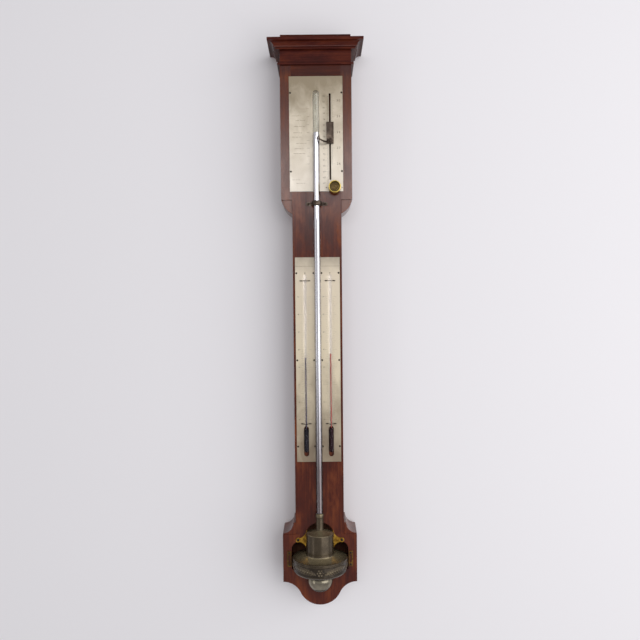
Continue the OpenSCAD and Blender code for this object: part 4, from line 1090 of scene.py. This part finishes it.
@dataclass
class Stage:
    """The wall, floor, lights, sky and camera round the part."""

    focal_px: float = 700.03
    centre_y_px: float = 341.0
    eye: tuple[float, float, float] = (5.355, -1295.72, -374.4)
    yaw_deg: float = -0.089
    pitch_deg: float = 2.672
    roll_deg: float = -0.537
    picture_px: float = 640.0
    sensor_mm: float = 36.0
    reach: float = 4000.0
    floor_z: float = -3000.0
    wall_y: float = 3.0
    room_lit: float = 0.44
    room_seen: float = 0.68

    def build(self) -> None:
        """Sets the stage."""
        bpy.context.scene.view_settings.view_transform = "Standard"
        self.camera()
        self.sky()
        x, y, z = self.reach, self.wall_y, self.floor_z
        self.sheet("wall", [(-x, y, z), (x, y, z), (x, y, -z), (-x, y, -z)])
        self.sheet("floor", [(-x, -x, z), (x, -x, z), (x, y, z), (-x, y, z)])
        self.lamp("window", (1650, -1750, -400), (0, 0, -400), 2800, 3000, 43.0)
        self.lamp("high_window", (0, -3000, 400), (0, 0, 0), 2000, 430, 15.5)
        self.lamp("left_window", (-1900, -1300, -900), (0, 0, -600), 400, 2400, 3.8)
        self.lamp("behind", (500, 1900, 800), (0, 0, -400), 1600, 1600, 24.0)

    def camera(self) -> None:
        """Places the camera where the photograph was taken, for a square picture of `picture_px`."""
        yaw, pitch, roll = (math.radians(v) for v in (self.yaw_deg, self.pitch_deg, self.roll_deg))
        data = bpy.data.cameras.new("camera")
        data.sensor_width = self.sensor_mm
        data.lens = self.sensor_mm * self.focal_px / self.picture_px
        data.shift_y = (self.centre_y_px - 0.5 * self.picture_px) / self.picture_px
        data.clip_start, data.clip_end = 0.01, 50.0
        camera = link(bpy.data.objects.new("camera", data))
        place = Matrix.Translation(Vector(self.eye) * MM) @ Matrix.Rotation(-yaw, 4, "Z")
        tilt = Matrix.Rotation(math.pi / 2 - pitch, 4, "X") @ Matrix.Rotation(roll, 4, "Z")
        camera.matrix_world = place @ tilt
        bpy.context.scene.camera = camera

    def sky(self) -> None:
        """Lights the room evenly, and shows the eye, metal and glass one pale grey."""
        world = bpy.data.worlds.new("room")
        world.use_nodes = True
        bpy.context.scene.world = world
        tree = world.node_tree
        tree.nodes.clear()
        strength = add(tree, "ShaderNodeMapRange", [self.seen(tree), 0.0, 1.0, self.room_lit, self.room_seen])
        soft = add(tree, "ShaderNodeBackground", {"Color": linear("#f4f3f6"), "Strength": strength})
        add(tree, "ShaderNodeOutputWorld", {"Surface": soft})

    def seen(self, tree: Tree) -> Socket:
        """Tells, as 1 or 0, whether a ray comes from the camera, a gloss or a glass.

        Args:
            tree: the node tree.

        Returns:
            The answer's output.
        """
        ways = [add(tree, "ShaderNodeLightPath", out=f"Is {way} Ray") for way in ("Camera", "Glossy", "Transmission")]
        either = add(tree, "ShaderNodeMath", [ways[0], ways[1]], operation="MAXIMUM")
        return add(tree, "ShaderNodeMath", [either, ways[2]], operation="MAXIMUM")

    def sheet(self, name: str, corners: Corners) -> None:
        """Hangs a pale sheet that is seen, and takes shadow, from its front alone.

        Args:
            name: the sheet's name.
            corners: its corners in millimetres, counter-clockwise from its front.
        """
        piece = put(name, np.array(corners, float), [(0, 1, 2, 3)])
        mix = Recipe(f"{name}_paint")
        tree = mix.tree
        back = add(tree, "ShaderNodeNewGeometry", out="Backfacing")
        seen = add(tree, "ShaderNodeMath", [self.seen(tree), back], operation="SUBTRACT", use_clamp=True)
        paint = add(tree, "ShaderNodeBsdfDiffuse", {"Color": linear("#eae8eb")})
        clear = add(tree, "ShaderNodeBsdfTransparent")
        shown = add(tree, "ShaderNodeMixShader", [seen, clear, paint])
        add(tree, "ShaderNodeOutputMaterial", {"Surface": shown})
        piece.data.materials.append(mix.material)

    def lamp(
        self, name: str, place: Sequence[float], target: Sequence[float], width: float, height: float, watts: float
    ) -> None:
        """Hangs one soft lamp, with its width level.

        Args:
            name: the lamp's name.
            place: where it is, in millimetres.
            target: what it faces.
            width: its width in millimetres.
            height: its height in millimetres.
            watts: its power.
        """
        data = bpy.data.lights.new(name, "AREA")
        data.shape, data.size, data.size_y, data.energy = "RECTANGLE", width * MM, height * MM, watts
        lamp = link(bpy.data.objects.new(name, data))
        lamp.visible_camera = False
        at, to = Vector(place) * MM, Vector(target) * MM
        turn = (at - to).to_track_quat("Z", "Y").to_matrix().to_4x4()
        lamp.matrix_world = Matrix.Translation(at) @ turn


def main() -> None:
    """Builds the barometer's sub-assemblies in order."""
    logging.basicConfig(level=logging.INFO, format="%(name)s: %(message)s")
    for group in (bpy.data.objects, bpy.data.lights, bpy.data.cameras):
        for item in list(group):
            group.remove(item)
    shop = Shop(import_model())
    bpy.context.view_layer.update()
    Stage().build()
    Case(shop).build()
    Register(shop).build()
    Thermometers(shop).build()
    Tube(shop).build()
    Cistern(shop).build()


if __name__ == "__main__":
    main()
